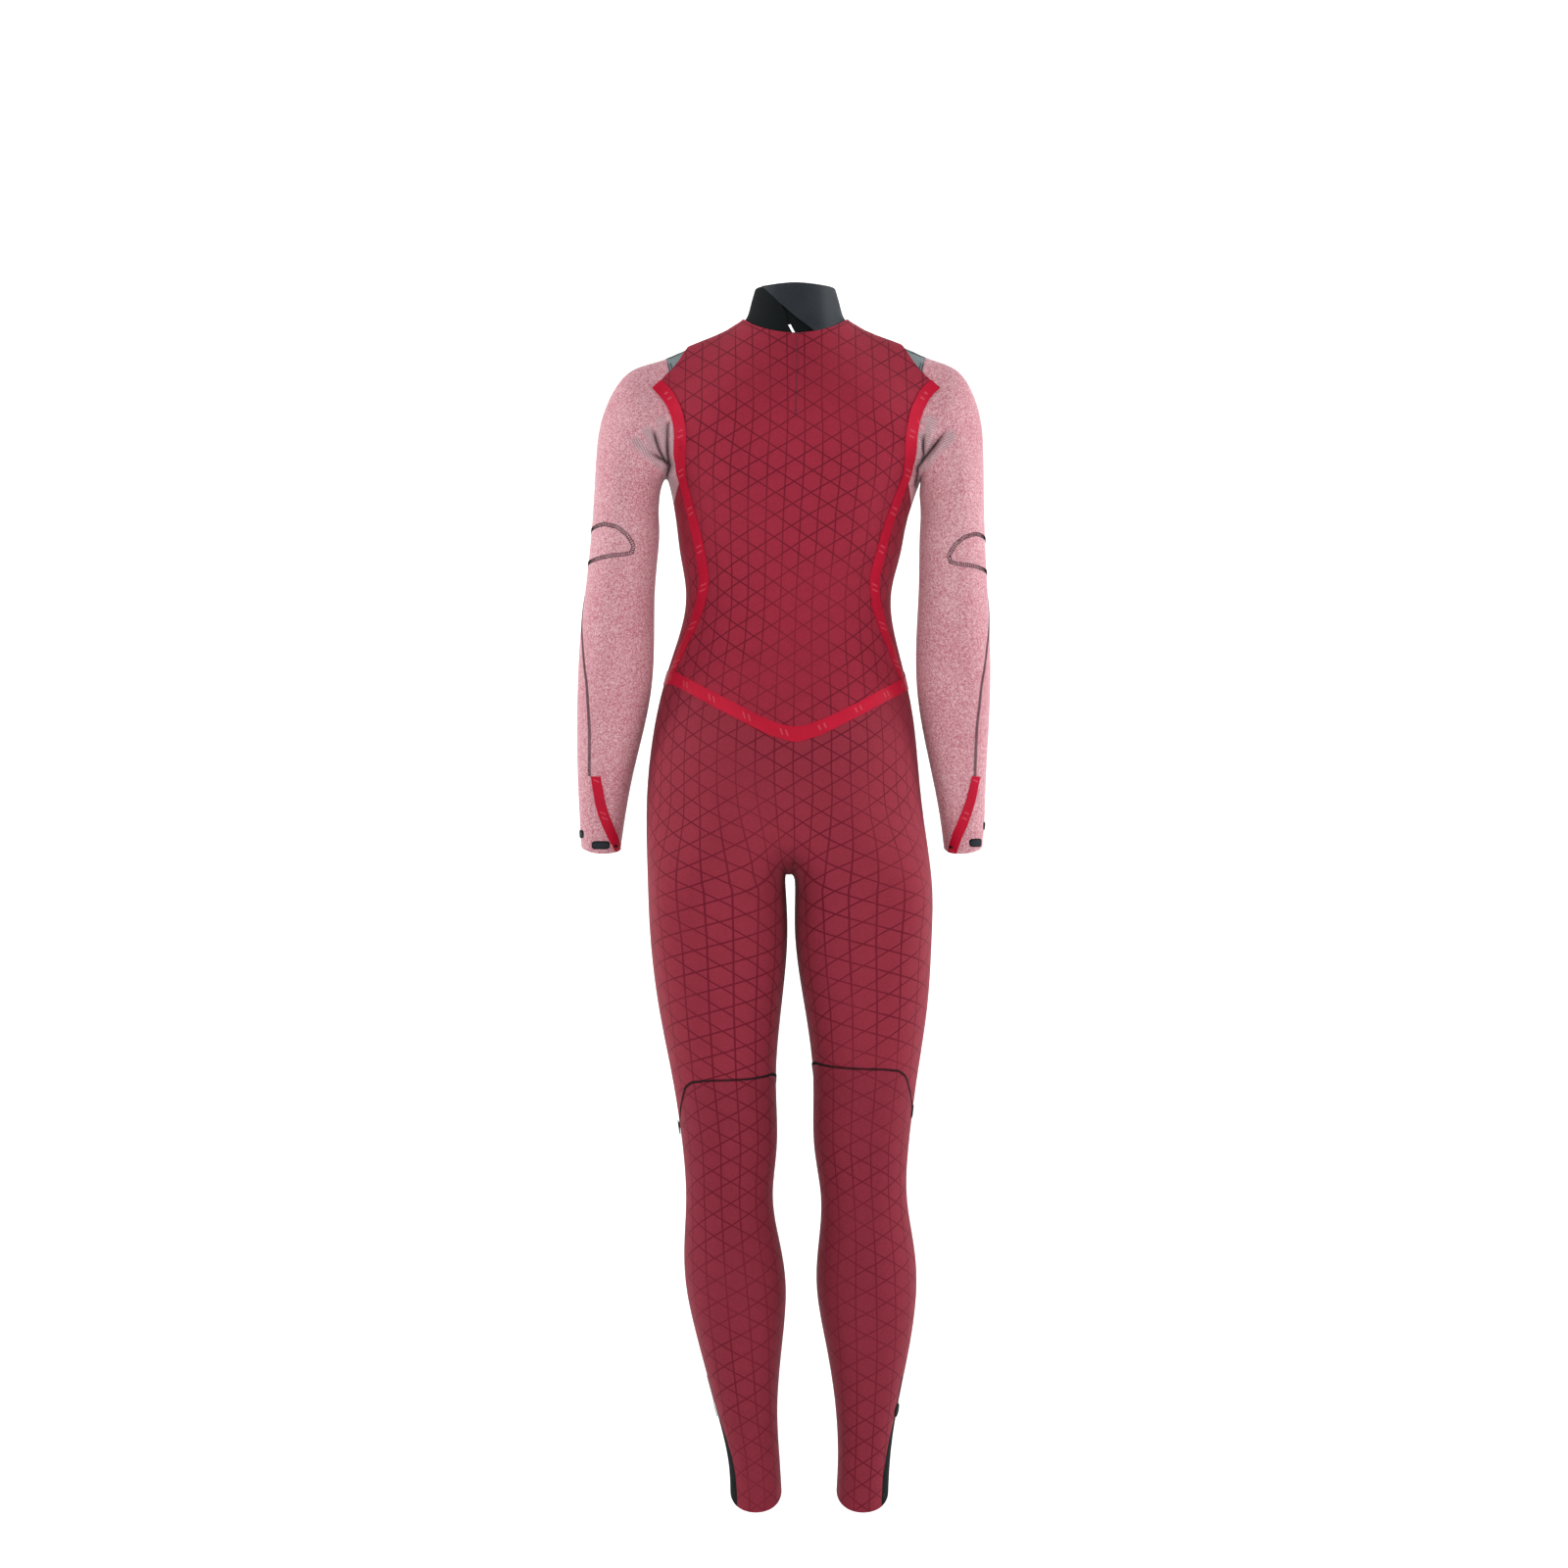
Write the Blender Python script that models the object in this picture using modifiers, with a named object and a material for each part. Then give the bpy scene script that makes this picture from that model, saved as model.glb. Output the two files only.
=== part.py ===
"""Back-zip wetsuit, turned inside out and filled out as worn: hollow neoprene panels on one smooth form.

Metres, +Z up. The garment's back faces -Y, its front +Y, and the origin is the middle of the neck's base.
The form is one coarse cage of rings, smoothed by a Subdivision Surface. The seams are cut into it as
lines, and each panel is then raised into a closed wall of its own thickness.
"""

import math

import bmesh
import bpy
import numpy as np
from mathutils import Matrix, Vector
from mathutils.bvhtree import BVHTree

# Driving sizes
COLLECTION_NAME = "wetsuit"
SMOOTH_LEVELS = 1
FIT_ROUNDS = 4               # passes that push the cage out until the smooth form meets the tables
SEAM_GAP = 0.0003            # between panels that are sewn edge to edge, and between layers
SNAP_SHARE = 0.10            # a point nearer to a seam than this share of its edge counts as on it

BODY_WALL = 0.004            # front, seat and thighs
LIMB_WALL = 0.003            # sleeves and lower legs
INNER_PANEL_WALL = 0.002     # back inner panel
OUTER_BACK_WALL = 0.0025
COLLAR_WALL = 0.002
INNER_FLAP_WALL = 0.0015
SHOULDER_LIFT = 0.0026       # how far the inner panel stands proud at its free shoulder edges
LIFT_START_Z = -0.135
LIFT_FULL_Z = -0.075
FLAP_LIFT = 0.0023           # the collar's over-flap on the band beneath it

TAPE_WALL = 0.0006
TAPE_HALF_WIDTH = 0.0075
WRIST_TAPE_HALF_WIDTH = 0.0060
WRIST_TAPE_TOP_Z = -0.5187
DOT_RADIUS = 0.008
DOT_WALL = 0.0008

ZIP_CHAIN_HALF_WIDTH = 0.003
ZIP_TAPE_HALF_WIDTH = 0.014
ZIP_END_Z = -0.360
ZIP_CHAIN_WALL = 0.0020
ZIP_TAPE_WALL = 0.0010
SLIDER_SIZE = (0.011, 0.016, 0.0035)
SLIDER_Z = -0.050

# How the middle of the body leans: height, sideways shift
LEAN = ((-0.700, -0.002), (-0.627, -0.004), (-0.570, -0.0075), (-0.510, -0.0096), (-0.450, -0.0085),
        (-0.395, -0.0070), (-0.345, -0.0050), (-0.303, -0.0035), (-0.262, -0.0015), (-0.222, 0.0),
        (-0.176, 0.003), (-0.125, 0.005), (0.0, 0.004), (0.060, 0.004))

# Whole rings of the body, from the armpits down: height, half width, depth behind, depth in front,
# how far the bust stands out in front, how far the middle of the back sinks in
BODY_RINGS = ((-0.176, 0.1465, 0.102, 0.096, 0.005, 0.003),
              (-0.222, 0.1335, 0.100, 0.112, 0.010, 0.004),
              (-0.262, 0.1272, 0.092, 0.116, 0.008, 0.004),
              (-0.303, 0.1187, 0.083, 0.105, 0.002, 0.004),
              (-0.345, 0.1215, 0.080, 0.100, 0.000, 0.004),
              (-0.395, 0.1352, 0.086, 0.100, 0.000, 0.003),
              (-0.450, 0.1482, 0.100, 0.104, 0.000, 0.001),
              (-0.510, 0.1555, 0.113, 0.101, 0.000, 0.002),
              (-0.570, 0.1600, 0.118, 0.090, 0.000, 0.007))
BODY_ROUNDNESS = 2.3

# Rows of the upper back and chest, open at the armholes: height at the armhole, height in the middle,
# half width, depth behind at the armhole and in the middle, depth in front at the armhole and in the middle
UPPER_ROWS = ((-0.130, -0.122, 0.1400, 0.070, 0.103, 0.060, 0.092),
              (-0.086, -0.068, 0.1465, 0.050, 0.090, 0.040, 0.076))
SHOULDER_POINT = (0.1500, -0.004, -0.0362)
SHOULDER_RISE_RIGHT = 0.0022
RIDGE_CREASE = 0.25          # how crisp the ridge of the shoulders is, from 0 to 1

# The collar, from the neck seam up: half width, depth behind, depth in front,
# height at the sides, behind and in front
COLLAR_RINGS = ((0.0585, 0.060, 0.054, 0.0055, -0.0150, -0.040),
                (0.0535, 0.0560, 0.051, 0.0160, 0.0040, -0.029),
                (0.0505, 0.0548, 0.050, 0.0270, 0.0220, -0.018),
                (0.0470, 0.0535, 0.049, 0.0385, 0.0440, -0.007))

# Rings of the sleeves below the armhole: on the left the inner x and outer x, on the right the inner x and
# outer x, height of the inner and of the outer side, middle in depth, half depth, drop of the back edge
SLEEVE_RINGS = ((-0.1500, -0.1900, 0.1470, 0.1948, -0.187, -0.0560, -0.006, 0.054, 0.0, 0.88),
                (-0.1528, -0.2150, 0.1476, 0.2150, -0.203, -0.0965, -0.007, 0.052, 0.0, 0.95),
                (-0.1530, -0.2245, 0.1478, 0.2205, -0.222, -0.1420, -0.009, 0.049, 0.0, 1.0),
                (-0.1526, -0.2292, 0.1463, 0.2215, -0.250, -0.2150, -0.013, 0.0455, 0.0, 1.0),
                (-0.1571, -0.2362, 0.1458, 0.2249, -0.302, -0.2980, -0.016, 0.0425, 0.0, 1.0),
                (-0.1582, -0.2427, 0.1436, 0.2275, -0.355, -0.3550, -0.014, 0.0405, 0.002, 1.0),
                (-0.1605, -0.2463, 0.1436, 0.2283, -0.410, -0.4100, -0.008, 0.0380, 0.004, 1.0),
                (-0.1695, -0.2475, 0.1503, 0.2271, -0.462, -0.4620, 0.001, 0.0345, 0.006, 1.0),
                (-0.1831, -0.2475, 0.1616, 0.2249, -0.515, -0.5150, 0.013, 0.0305, 0.007, 1.0),
                (-0.1925, -0.2463, 0.1710, 0.2237, -0.562, -0.5620, 0.024, 0.0270, 0.008, 1.0),
                (-0.1985, -0.2452, 0.1765, 0.2217, -0.602, -0.5990, 0.034, 0.0255, 0.008, 1.0))

# Rings of the legs: height, middle of the left and of the right leg, half width, depth behind and in front,
# drop of the back edge, roundness
LEG_RINGS = ((-0.640, -0.0866, 0.0828, 0.0792, 0.112, 0.078, 0.000, 2.6),
             (-0.705, -0.0838, 0.0826, 0.0790, 0.103, 0.078, 0.000, 2.4),
             (-0.785, -0.0822, 0.0850, 0.0709, 0.090, 0.076, 0.000, 2.2),
             (-0.865, -0.0783, 0.0845, 0.0599, 0.076, 0.072, 0.000, 2.1),
             (-0.940, -0.0717, 0.0800, 0.0550, 0.064, 0.068, 0.000, 2.1),
             (-1.003, -0.0720, 0.0831, 0.0498, 0.056, 0.063, 0.000, 2.1),
             (-1.060, -0.0687, 0.0859, 0.0555, 0.062, 0.054, 0.000, 2.1),
             (-1.115, -0.0638, 0.0864, 0.0571, 0.068, 0.047, 0.000, 2.1),
             (-1.180, -0.0585, 0.0876, 0.0471, 0.060, 0.042, 0.002, 2.1),
             (-1.245, -0.0523, 0.0862, 0.0357, 0.047, 0.036, 0.005, 2.1),
             (-1.300, -0.0444, 0.0836, 0.0301, 0.040, 0.033, 0.011, 2.1),
             (-1.343, -0.0412, 0.0813, 0.0297, 0.039, 0.034, 0.018, 2.1))

# The crotch, from the back to the front: depth, height
CROTCH_POINTS = ((-0.078, -0.612), (-0.018, -0.634), (0.042, -0.610))

# Edge of the inner panel on each side of the lean line: height, offset. Above the corner it is a free edge,
# and below the corner it is the princess seam.
PANEL_EDGE = ((-0.018, 0.1185), (-0.0226, 0.1205), (-0.0316, 0.1265), (-0.0429, 0.1325),
              (-0.0576, 0.1435), (-0.0655, 0.1525), (-0.0720, 0.1590), (-0.0825, 0.1475),
              (-0.0915, 0.1420), (-0.1028, 0.1365), (-0.1164, 0.1330), (-0.1322, 0.1310),
              (-0.1526, 0.1310), (-0.1774, 0.1285), (-0.2000, 0.1205), (-0.2226, 0.1136),
              (-0.2452, 0.1070), (-0.2678, 0.1017), (-0.2904, 0.0970), (-0.3017, 0.0970),
              (-0.3243, 0.1005), (-0.3469, 0.1080), (-0.3695, 0.1180), (-0.3921, 0.1270),
              (-0.4057, 0.1330), (-0.4300, 0.1480))
CORNER_Z = -0.0720
YOKE_FOOT_Z = -0.0593
YOKE_EDGE = ((-0.0300, 0.1500), (-0.0380, 0.1490), (-0.0593, 0.1440))
FRONT_ARMHOLE = ((-0.030, 0.1500), (-0.100, 0.1400), (-0.150, 0.1330), (-0.210, 0.1290))
UNDERARM = ((0.1200, -0.1850), (0.1310, -0.1850), (0.1500, -0.2610))    # offset from the lean line, height
TAPE_END_SLOPE = (0.735, -0.678)
TAB_INNER_X = 0.1330
TAB_DEPTH = 0.014            # how far the tabs reach in front of the ridge
TAB_BACK_DEPTH = 0.0070      # and behind it

# The V seam at the hips, as a rounded point behind that runs level in front
HIP_TIP = (0.0035, -0.4713)
HIP_SLOPE = 0.56
HIP_TIP_RADIUS = 0.025
HIP_FRONT_REACH = 0.1400

# The knee seam round a leg: angle from the back towards the outer side in degrees, height on the left leg
KNEE_SEAM = ((-180.0, -0.9230), (-120.0, -0.8900), (-90.0, -0.8640), (-60.0, -0.8600), (-20.0, -0.8630),
             (15.0, -0.8645), (30.0, -0.8670), (40.0, -0.8735), (47.0, -0.8840), (60.0, -0.9000),
             (75.0, -0.9160), (90.0, -0.9230), (180.0, -0.9230))
KNEE_RISE_RIGHT = 0.0130

# Outer edge of the black ankle panel: height, angle from the back towards the outer side in degrees
ANKLE_EDGE = ((-1.2300, 76.0), (-1.2400, 74.0), (-1.2570, 63.0), (-1.2750, 55.0), (-1.2950, 48.0),
              (-1.3200, 44.0), (-1.3700, 45.0))
ANKLE_INNER_ANGLE = (-94.0, -104.0)      # left leg, right leg
ANKLE_TOP_Z = -1.2450
ANKLE_TOP_RISE = 0.0300

# The elbow panel on the outside of a sleeve: angle from the back towards the outer side in degrees, height
ELBOW_OUTLINE = ((-17.0, -0.2565), (-7.0, -0.2440), (8.0, -0.2350), (30.0, -0.2310), (50.0, -0.2330),
                 (75.0, -0.2360), (105.0, -0.2390), (128.0, -0.2480), (136.0, -0.2580), (128.0, -0.2700),
                 (105.0, -0.2760), (75.0, -0.2745), (50.0, -0.2715), (22.0, -0.2680), (-5.0, -0.2660),
                 (-14.0, -0.2640))
ELBOW_TURN = (0.0, 9.0)                  # left sleeve, right sleeve, in degrees
ELBOW_DROP = (0.0, 0.0110)
ELBOW_AXIS = ((-0.1930, -0.0145), (0.1845, -0.0145))
ELBOW_RADIUS = 0.0400

# Wrist tapes: height, x on the left and on the right sleeve
WRIST_TAPE = ((-0.480, -0.2270, 0.2145), (-0.5187, -0.2255, 0.2122), (-0.5470, -0.2209, 0.2060),
              (-0.5600, -0.2180, 0.2017), (-0.5740, -0.2130, 0.1966), (-0.5870, -0.2075, 0.1910),
              (-0.6020, -0.2011, 0.1865), (-0.6300, -0.1900, 0.1760))

# Collar edges as seen from behind: x, height
OVER_FLAP_EDGE = ((-0.0460, 0.0550), (-0.0280, 0.0361), (-0.0122, 0.0193), (0.0061, 0.0026),
                  (0.0234, -0.0108), (0.0400, -0.0240))
UNDER_FLAP_EDGE = ((-0.0270, 0.0480), (-0.0205, 0.0330), (-0.0125, 0.0193), (-0.0065, 0.0093),
                   (-0.0046, -0.0041), (0.0016, -0.0152), (0.0060, -0.0240))
INNER_FLAP_LEFT = -0.0190
INNER_FLAP_RIGHT = 0.0300
NOTCH_TOP_Z = -0.0038
NOTCH_WIDTH = 0.0030

# Reinforcing dots: name, leg (left 0, right 1), height, angle from the back towards the outer side
DOTS = (("knee_dot_left", 0, -0.9230, 88.0), ("knee_dot_right", 1, -0.9040, 78.0),
        ("ankle_dot_left", 0, -1.2480, 80.0), ("ankle_dot_right", 1, -1.2470, 66.0))

# Finishes: colour, roughness
FINISHES = {"red_lining": ((0.27, 0.025, 0.045), 0.85),
            "dark_red_lining": ((0.21, 0.024, 0.042), 0.85),
            "heather_lining": ((0.57, 0.29, 0.32), 0.9),
            "black_neoprene": ((0.012, 0.014, 0.015), 0.8),
            "smooth_skin": ((0.036, 0.043, 0.049), 0.45),
            "grey_jersey": ((0.20, 0.22, 0.22), 0.9),
            "red_tape": ((0.48, 0.02, 0.045), 0.55),
            "zip_plastic": ((0.02, 0.02, 0.022), 0.5)}

TORSO_BACK, TORSO_FRONT, SLEEVE_LEFT, SLEEVE_RIGHT, LEG_LEFT, LEG_RIGHT, COLLAR = range(7)
BODY_COLUMNS = 16
SLEEVE_COLUMNS = 8
LEG_COLUMNS = 12


# Tables and curves

def read_table(rows, at, column=1):
    """Value of a table's column at the given first-column values."""
    rows = sorted(rows)
    return np.interp(at, [row[0] for row in rows], [row[column] for row in rows])


def lean(z):
    return read_table(LEAN, z)


def smooth_step(value, start, end):
    """0 at start, 1 at end, with soft ends."""
    share = np.clip((value - start) / (end - start), 0.0, 1.0)
    return share * share * (3.0 - 2.0 * share)


def signed_power(value, exponent):
    return math.copysign(abs(value) ** exponent, value)


def distance_to_path(points, path):
    """Shortest distance from each point to a polyline."""
    best = np.full(len(points), np.inf)
    for start, end in zip(path[:-1], path[1:]):
        run = end - start
        along = np.clip((points - start) @ run / max(run @ run, 1e-12), 0.0, 1.0)
        gap = np.linalg.norm(points - start - along[:, None] * run, axis=1)
        best = np.minimum(best, gap)
    return best


def inside_outline(points, outline):
    """Which 2D points lie inside a closed outline."""
    inside = np.zeros(len(points), dtype=bool)
    x = points[:, 0]
    y = points[:, 1]
    for (x0, y0), (x1, y1) in zip(outline, outline[1:] + outline[:1]):
        crosses = (y0 > y) != (y1 > y)
        reach = x0 + (y - y0) * (x1 - x0) / ((y1 - y0) if y1 != y0 else 1e-12)
        inside ^= crosses & (x < reach)
    return inside


# The cage

class Cage:
    """Points and tagged faces of the coarse form."""

    def __init__(self):
        self.points = []
        self.faces = []
        self.tags = []
        self.creases = {}

    def add(self, x, y, z):
        self.points.append((x, y, z))
        return len(self.points) - 1

    def strip(self, upper, lower, tags, clockwise=False, closed=True):
        """Quads between two rows of points, top row first, one tag for each quad."""
        count = len(upper) if closed else len(upper) - 1
        for k in range(count):
            after = (k + 1) % len(upper)
            quad = (upper[k], lower[k], lower[after], upper[after])
            self.faces.append(tuple(reversed(quad)) if clockwise else quad)
            self.tags.append(tags[k])


def body_ring(cage, row):
    z, half_width, behind, front, bust, hollow = row
    ring = []
    for k in range(BODY_COLUMNS):
        turn = math.radians(360.0 * k / BODY_COLUMNS)
        across = signed_power(math.cos(turn), 2.0 / BODY_ROUNDNESS)
        back = signed_power(math.sin(turn), 2.0 / BODY_ROUNDNESS)
        y = -back * (behind if back > 0.0 else front)
        if k in (11, 13):
            y += bust
        if k == 12:
            y -= 0.3 * bust
        if k == 4:
            y += hollow
        ring.append(cage.add(float(lean(z)) - half_width * across, y, z))
    return ring


def upper_row(cage, row, facing):
    """Seven points across the upper back (facing -1) or chest (facing 1), from left to right."""
    z_edge, z_middle, half_width, back_edge, back_middle, front_edge, front_middle = row
    edge, middle = (back_edge, back_middle) if facing < 0 else (front_edge, front_middle)
    points = []
    for k in range(7):
        across = (k - 3) / 3.0
        bend = abs(across) ** 2.2
        z = z_middle + (z_edge - z_middle) * bend
        y = facing * (middle + (edge - middle) * bend)
        points.append(cage.add(float(lean(z)) + half_width * across, y, z))
    return points


def collar_ring(cage, row):
    """Eight points, from the left side round the back to the right and the front."""
    half_width, behind, front, side_z, back_z, front_z = row
    ring = []
    for k in range(8):
        turn = math.radians(45.0 * k)
        back = math.sin(turn)
        y = -back * (behind if back > 0.0 else front)
        end_z = back_z if back > 0.0 else front_z
        z = side_z + (end_z - side_z) * abs(back) ** 1.6
        ring.append(cage.add(float(lean(z)) - half_width * math.cos(turn), y - 0.002, z))
    return ring


def sleeve_ring(cage, row, side):
    inner_x, outer_x = row[0:2] if side < 0 else row[2:4]
    inner_z, outer_z, middle_y, half_depth, drop, fullness = row[4:]
    centre = Vector(((inner_x + outer_x) / 2.0, middle_y, (inner_z + outer_z) / 2.0))
    inward = Vector(((inner_x - outer_x) / 2.0, 0.0, (inner_z - outer_z) / 2.0))
    ring = []
    for j in range(SLEEVE_COLUMNS):
        turn = math.radians(45.0 * j)
        reach = fullness if j in (3, 5) else 1.0
        away = inward * math.cos(turn) + Vector((0.0, -half_depth, -drop)) * math.sin(turn)
        point = centre + away * reach
        ring.append(cage.add(*point))
    return ring


def leg_ring(cage, row, side):
    z, left_x, right_x, half_width, behind, front, drop, roundness = row
    middle = left_x if side < 0 else right_x
    ring = []
    for j in range(LEG_COLUMNS):
        turn = math.radians(30.0 * j)
        outward = signed_power(math.cos(turn), 2.0 / roundness)
        back = signed_power(math.sin(turn), 2.0 / roundness)
        y = -back * (behind if back > 0.0 else front)
        ring.append(cage.add(middle + side * half_width * outward, y, z - drop * back))
    return ring


def build_cage():
    cage = Cage()
    half = BODY_COLUMNS // 2
    body_tags = [TORSO_BACK] * half + [TORSO_FRONT] * half

    rings = [body_ring(cage, row) for row in BODY_RINGS]
    for upper, lower in zip(rings, rings[1:]):
        cage.strip(upper, lower, body_tags)

    # Upper back and chest, up to the shoulder ridge and the neck
    armpit = rings[0]
    collar = [collar_ring(cage, row) for row in COLLAR_RINGS]
    neck = collar[0]
    cage.creases = {frozenset((neck[k], neck[(k + 1) % len(neck)])): 1.0 for k in range(len(neck))}
    ridge = []
    for side, rise in ((-1, 0.0), (1, SHOULDER_RISE_RIGHT)):
        x, y, z = SHOULDER_POINT
        ridge.append(cage.add(float(lean(z)) + side * x, y, z + rise))
    cage.creases[frozenset((ridge[0], neck[0]))] = RIDGE_CREASE
    cage.creases[frozenset((ridge[1], neck[4]))] = RIDGE_CREASE
    back_rows = [upper_row(cage, row, -1) for row in UPPER_ROWS]
    front_rows = [upper_row(cage, row, 1) for row in UPPER_ROWS]
    back = [armpit[1:8]] + back_rows + [[ridge[0], neck[0], neck[1], neck[2], neck[3], neck[4], ridge[1]]]
    front_top = [ridge[0], neck[0], neck[7], neck[6], neck[5], neck[4], ridge[1]]
    front = [list(reversed(armpit[9:16]))] + front_rows + [front_top]
    for lower, upper in zip(back, back[1:]):
        cage.strip(upper, lower, [TORSO_BACK] * 6, closed=False)
    for lower, upper in zip(front, front[1:]):
        cage.strip(upper, lower, [TORSO_FRONT] * 6, clockwise=True, closed=False)
    for lower, upper in zip(collar, collar[1:]):
        cage.strip(upper, lower, [COLLAR] * 8)

    # Sleeves, from the armholes down
    for side, end, tag in ((-1, 0, SLEEVE_LEFT), (1, 6, SLEEVE_RIGHT)):
        armhole = [armpit[0 if side < 0 else half], back[0][end], back[1][end], back[2][end],
                   ridge[0 if side < 0 else 1], front[2][end], front[1][end], front[0][end]]
        sleeve = [armhole] + [sleeve_ring(cage, row, side) for row in SLEEVE_RINGS]
        for upper, lower in zip(sleeve, sleeve[1:]):
            cage.strip(upper, lower, [tag] * SLEEVE_COLUMNS, clockwise=side < 0)

    # Legs, from the hips and the crotch down
    hips = rings[-1]
    crotch = [cage.add(float(lean(z)), y, z) for y, z in CROTCH_POINTS]
    for side, tag in ((-1, LEG_LEFT), (1, LEG_RIGHT)):
        outer_back = hips[0:5] if side < 0 else hips[8:3:-1]
        inner_front = hips[12:16] if side < 0 else hips[12:8:-1]
        leg = [list(outer_back) + crotch + list(inner_front)]
        leg += [leg_ring(cage, row, side) for row in LEG_RINGS]
        for upper, lower in zip(leg, leg[1:]):
            cage.strip(upper, lower, [tag] * LEG_COLUMNS, clockwise=side > 0)
    return cage


def smooth_mesh(cage, points, levels):
    """The cage after its Subdivision Surface, as a new mesh."""
    mesh = bpy.data.meshes.new("cage")
    mesh.from_pydata([tuple(p) for p in points], [], cage.faces)
    mesh.polygons.foreach_set("material_index", cage.tags)
    crease = mesh.attributes.new("crease_edge", "FLOAT", "EDGE")
    for edge in mesh.edges:
        crease.data[edge.index].value = cage.creases.get(frozenset(edge.vertices), 0.0)
    guide = bpy.data.objects.new("cage", mesh)
    bpy.context.scene.collection.objects.link(guide)
    smooth = guide.modifiers.new("smooth", "SUBSURF")
    smooth.levels = levels
    smooth.render_levels = levels
    bpy.context.view_layer.update()
    evaluated = guide.evaluated_get(bpy.context.evaluated_depsgraph_get())
    result = bpy.data.meshes.new_from_object(evaluated)
    bpy.data.objects.remove(guide)
    bpy.data.meshes.remove(mesh)
    return result


def mesh_points(mesh):
    flat = np.empty(len(mesh.vertices) * 3)
    mesh.vertices.foreach_get("co", flat)
    return flat.reshape(-1, 3)


def smooth_form():
    """The smooth form, which passes through the cage's own points."""
    cage = build_cage()
    target = np.array(cage.points)
    points = target.copy()
    for _ in range(FIT_ROUNDS):
        mesh = smooth_mesh(cage, points, 1)
        points += target - mesh_points(mesh)[:len(points)]
        bpy.data.meshes.remove(mesh)
    mesh = smooth_mesh(cage, points, SMOOTH_LEVELS)
    skin = bmesh.new()
    skin.from_mesh(mesh)
    bpy.data.meshes.remove(mesh)
    skin.normal_update()
    return skin


# Seams

def split_at_zeros(face, value):
    """Split a face between points of the seam, until none has points on both sides of it."""
    pending = [face]
    done = []
    while pending:
        piece = pending.pop()
        corners = list(piece.verts)
        count = len(corners)
        values = [value[corner] for corner in corners]
        zeros = [k for k in range(count) if values[k] == 0.0]
        pair = None
        for a in range(len(zeros)):
            for b in range(a + 1, len(zeros)):
                one = values[zeros[a] + 1:zeros[b]]
                two = values[zeros[b] + 1:] + values[:zeros[a]]
                if one and two and sum(one) * sum(two) < 0.0:
                    pair = (corners[zeros[a]], corners[zeros[b]])
                    break
            if pair:
                break
        if pair:
            extra, _ = bmesh.utils.face_split(piece, *pair)
            pending += [piece, extra]
        else:
            done.append(piece)
    return done


def cut(skin, name, field, mask):
    """Cut the masked faces where the field is zero, and keep each face's side (1 or -1) in a layer."""
    side = skin.faces.layers.int.get(name) or skin.faces.layers.int.new(name)
    faces = [face for face in skin.faces if mask(face)]
    corners = list({corner for face in faces for corner in face.verts})
    if not corners:
        return
    found = field(np.array([corner.co for corner in corners]))
    value = {}
    for corner, amount in zip(corners, found):
        reach = min(edge.calc_length() for edge in corner.link_edges)
        value[corner] = 0.0 if abs(amount) < SNAP_SHARE * reach else float(amount)
    for edge in {edge for face in faces for edge in face.edges}:
        first, second = edge.verts
        if value[first] * value[second] < 0.0:
            share = value[first] / (value[first] - value[second])
            _, corner = bmesh.utils.edge_split(edge, first, share)
            value[corner] = 0.0
    for face in faces:
        for piece in split_at_zeros(face, value):
            total = sum(value[corner] for corner in piece.verts)
            piece[side] = 1 if total > 0.0 else -1


def offset_from_lean(points):
    return np.abs(points[:, 0] - lean(points[:, 2]))


def drape(tree, x, z, facing):
    """Point of the form at x and z, seen from behind (facing -1) or from the front (facing 1)."""
    hit, _, _, _ = tree.ray_cast(Vector((x, facing, z)), Vector((0.0, -facing, 0.0)))
    return np.array(hit)


def panel_edge_field(points):
    return offset_from_lean(points) - read_table(PANEL_EDGE, points[:, 2])


def sleeve_edge_field(points):
    z = points[:, 2]
    edge = np.where(z > YOKE_FOOT_Z, read_table(YOKE_EDGE, z), read_table(PANEL_EDGE, z))
    return offset_from_lean(points) - edge


def front_armhole_field(points):
    return offset_from_lean(points) - read_table(FRONT_ARMHOLE, points[:, 2])


def underarm_field(points):
    """Height above the seam between the sleeve and the front under the arm."""
    return (points[:, 2] - read_table(UNDERARM, offset_from_lean(points))) * 0.3


def hip_field(points):
    """Distance above the hip seam."""
    x = points[:, 0] - HIP_TIP[0]
    reach = np.sqrt(x * x + HIP_TIP_RADIUS ** 2) - HIP_TIP_RADIUS
    level = math.sqrt(HIP_FRONT_REACH ** 2 + HIP_TIP_RADIUS ** 2) - HIP_TIP_RADIUS
    reach = np.where(points[:, 1] < 0.0, np.minimum(reach, level), level)
    steep = np.where(points[:, 1] < 0.0, math.sqrt(1.0 + 0.8 * HIP_SLOPE ** 2), 1.0)
    return (points[:, 2] - HIP_TIP[1] - HIP_SLOPE * reach) / steep


def leg_angle(points, side):
    """Angle round a leg in degrees, from the back towards the outer side."""
    column = 1 if side < 0 else 2
    middle = read_table([(row[0], row[1], row[2]) for row in LEG_RINGS], points[:, 2], column)
    return np.degrees(np.arctan2(side * (points[:, 0] - middle), -points[:, 1]))


def knee_field(side):
    rise = 0.0 if side < 0 else KNEE_RISE_RIGHT

    def field(points):
        return points[:, 2] - rise - read_table(KNEE_SEAM, leg_angle(points, side))
    return field


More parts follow.
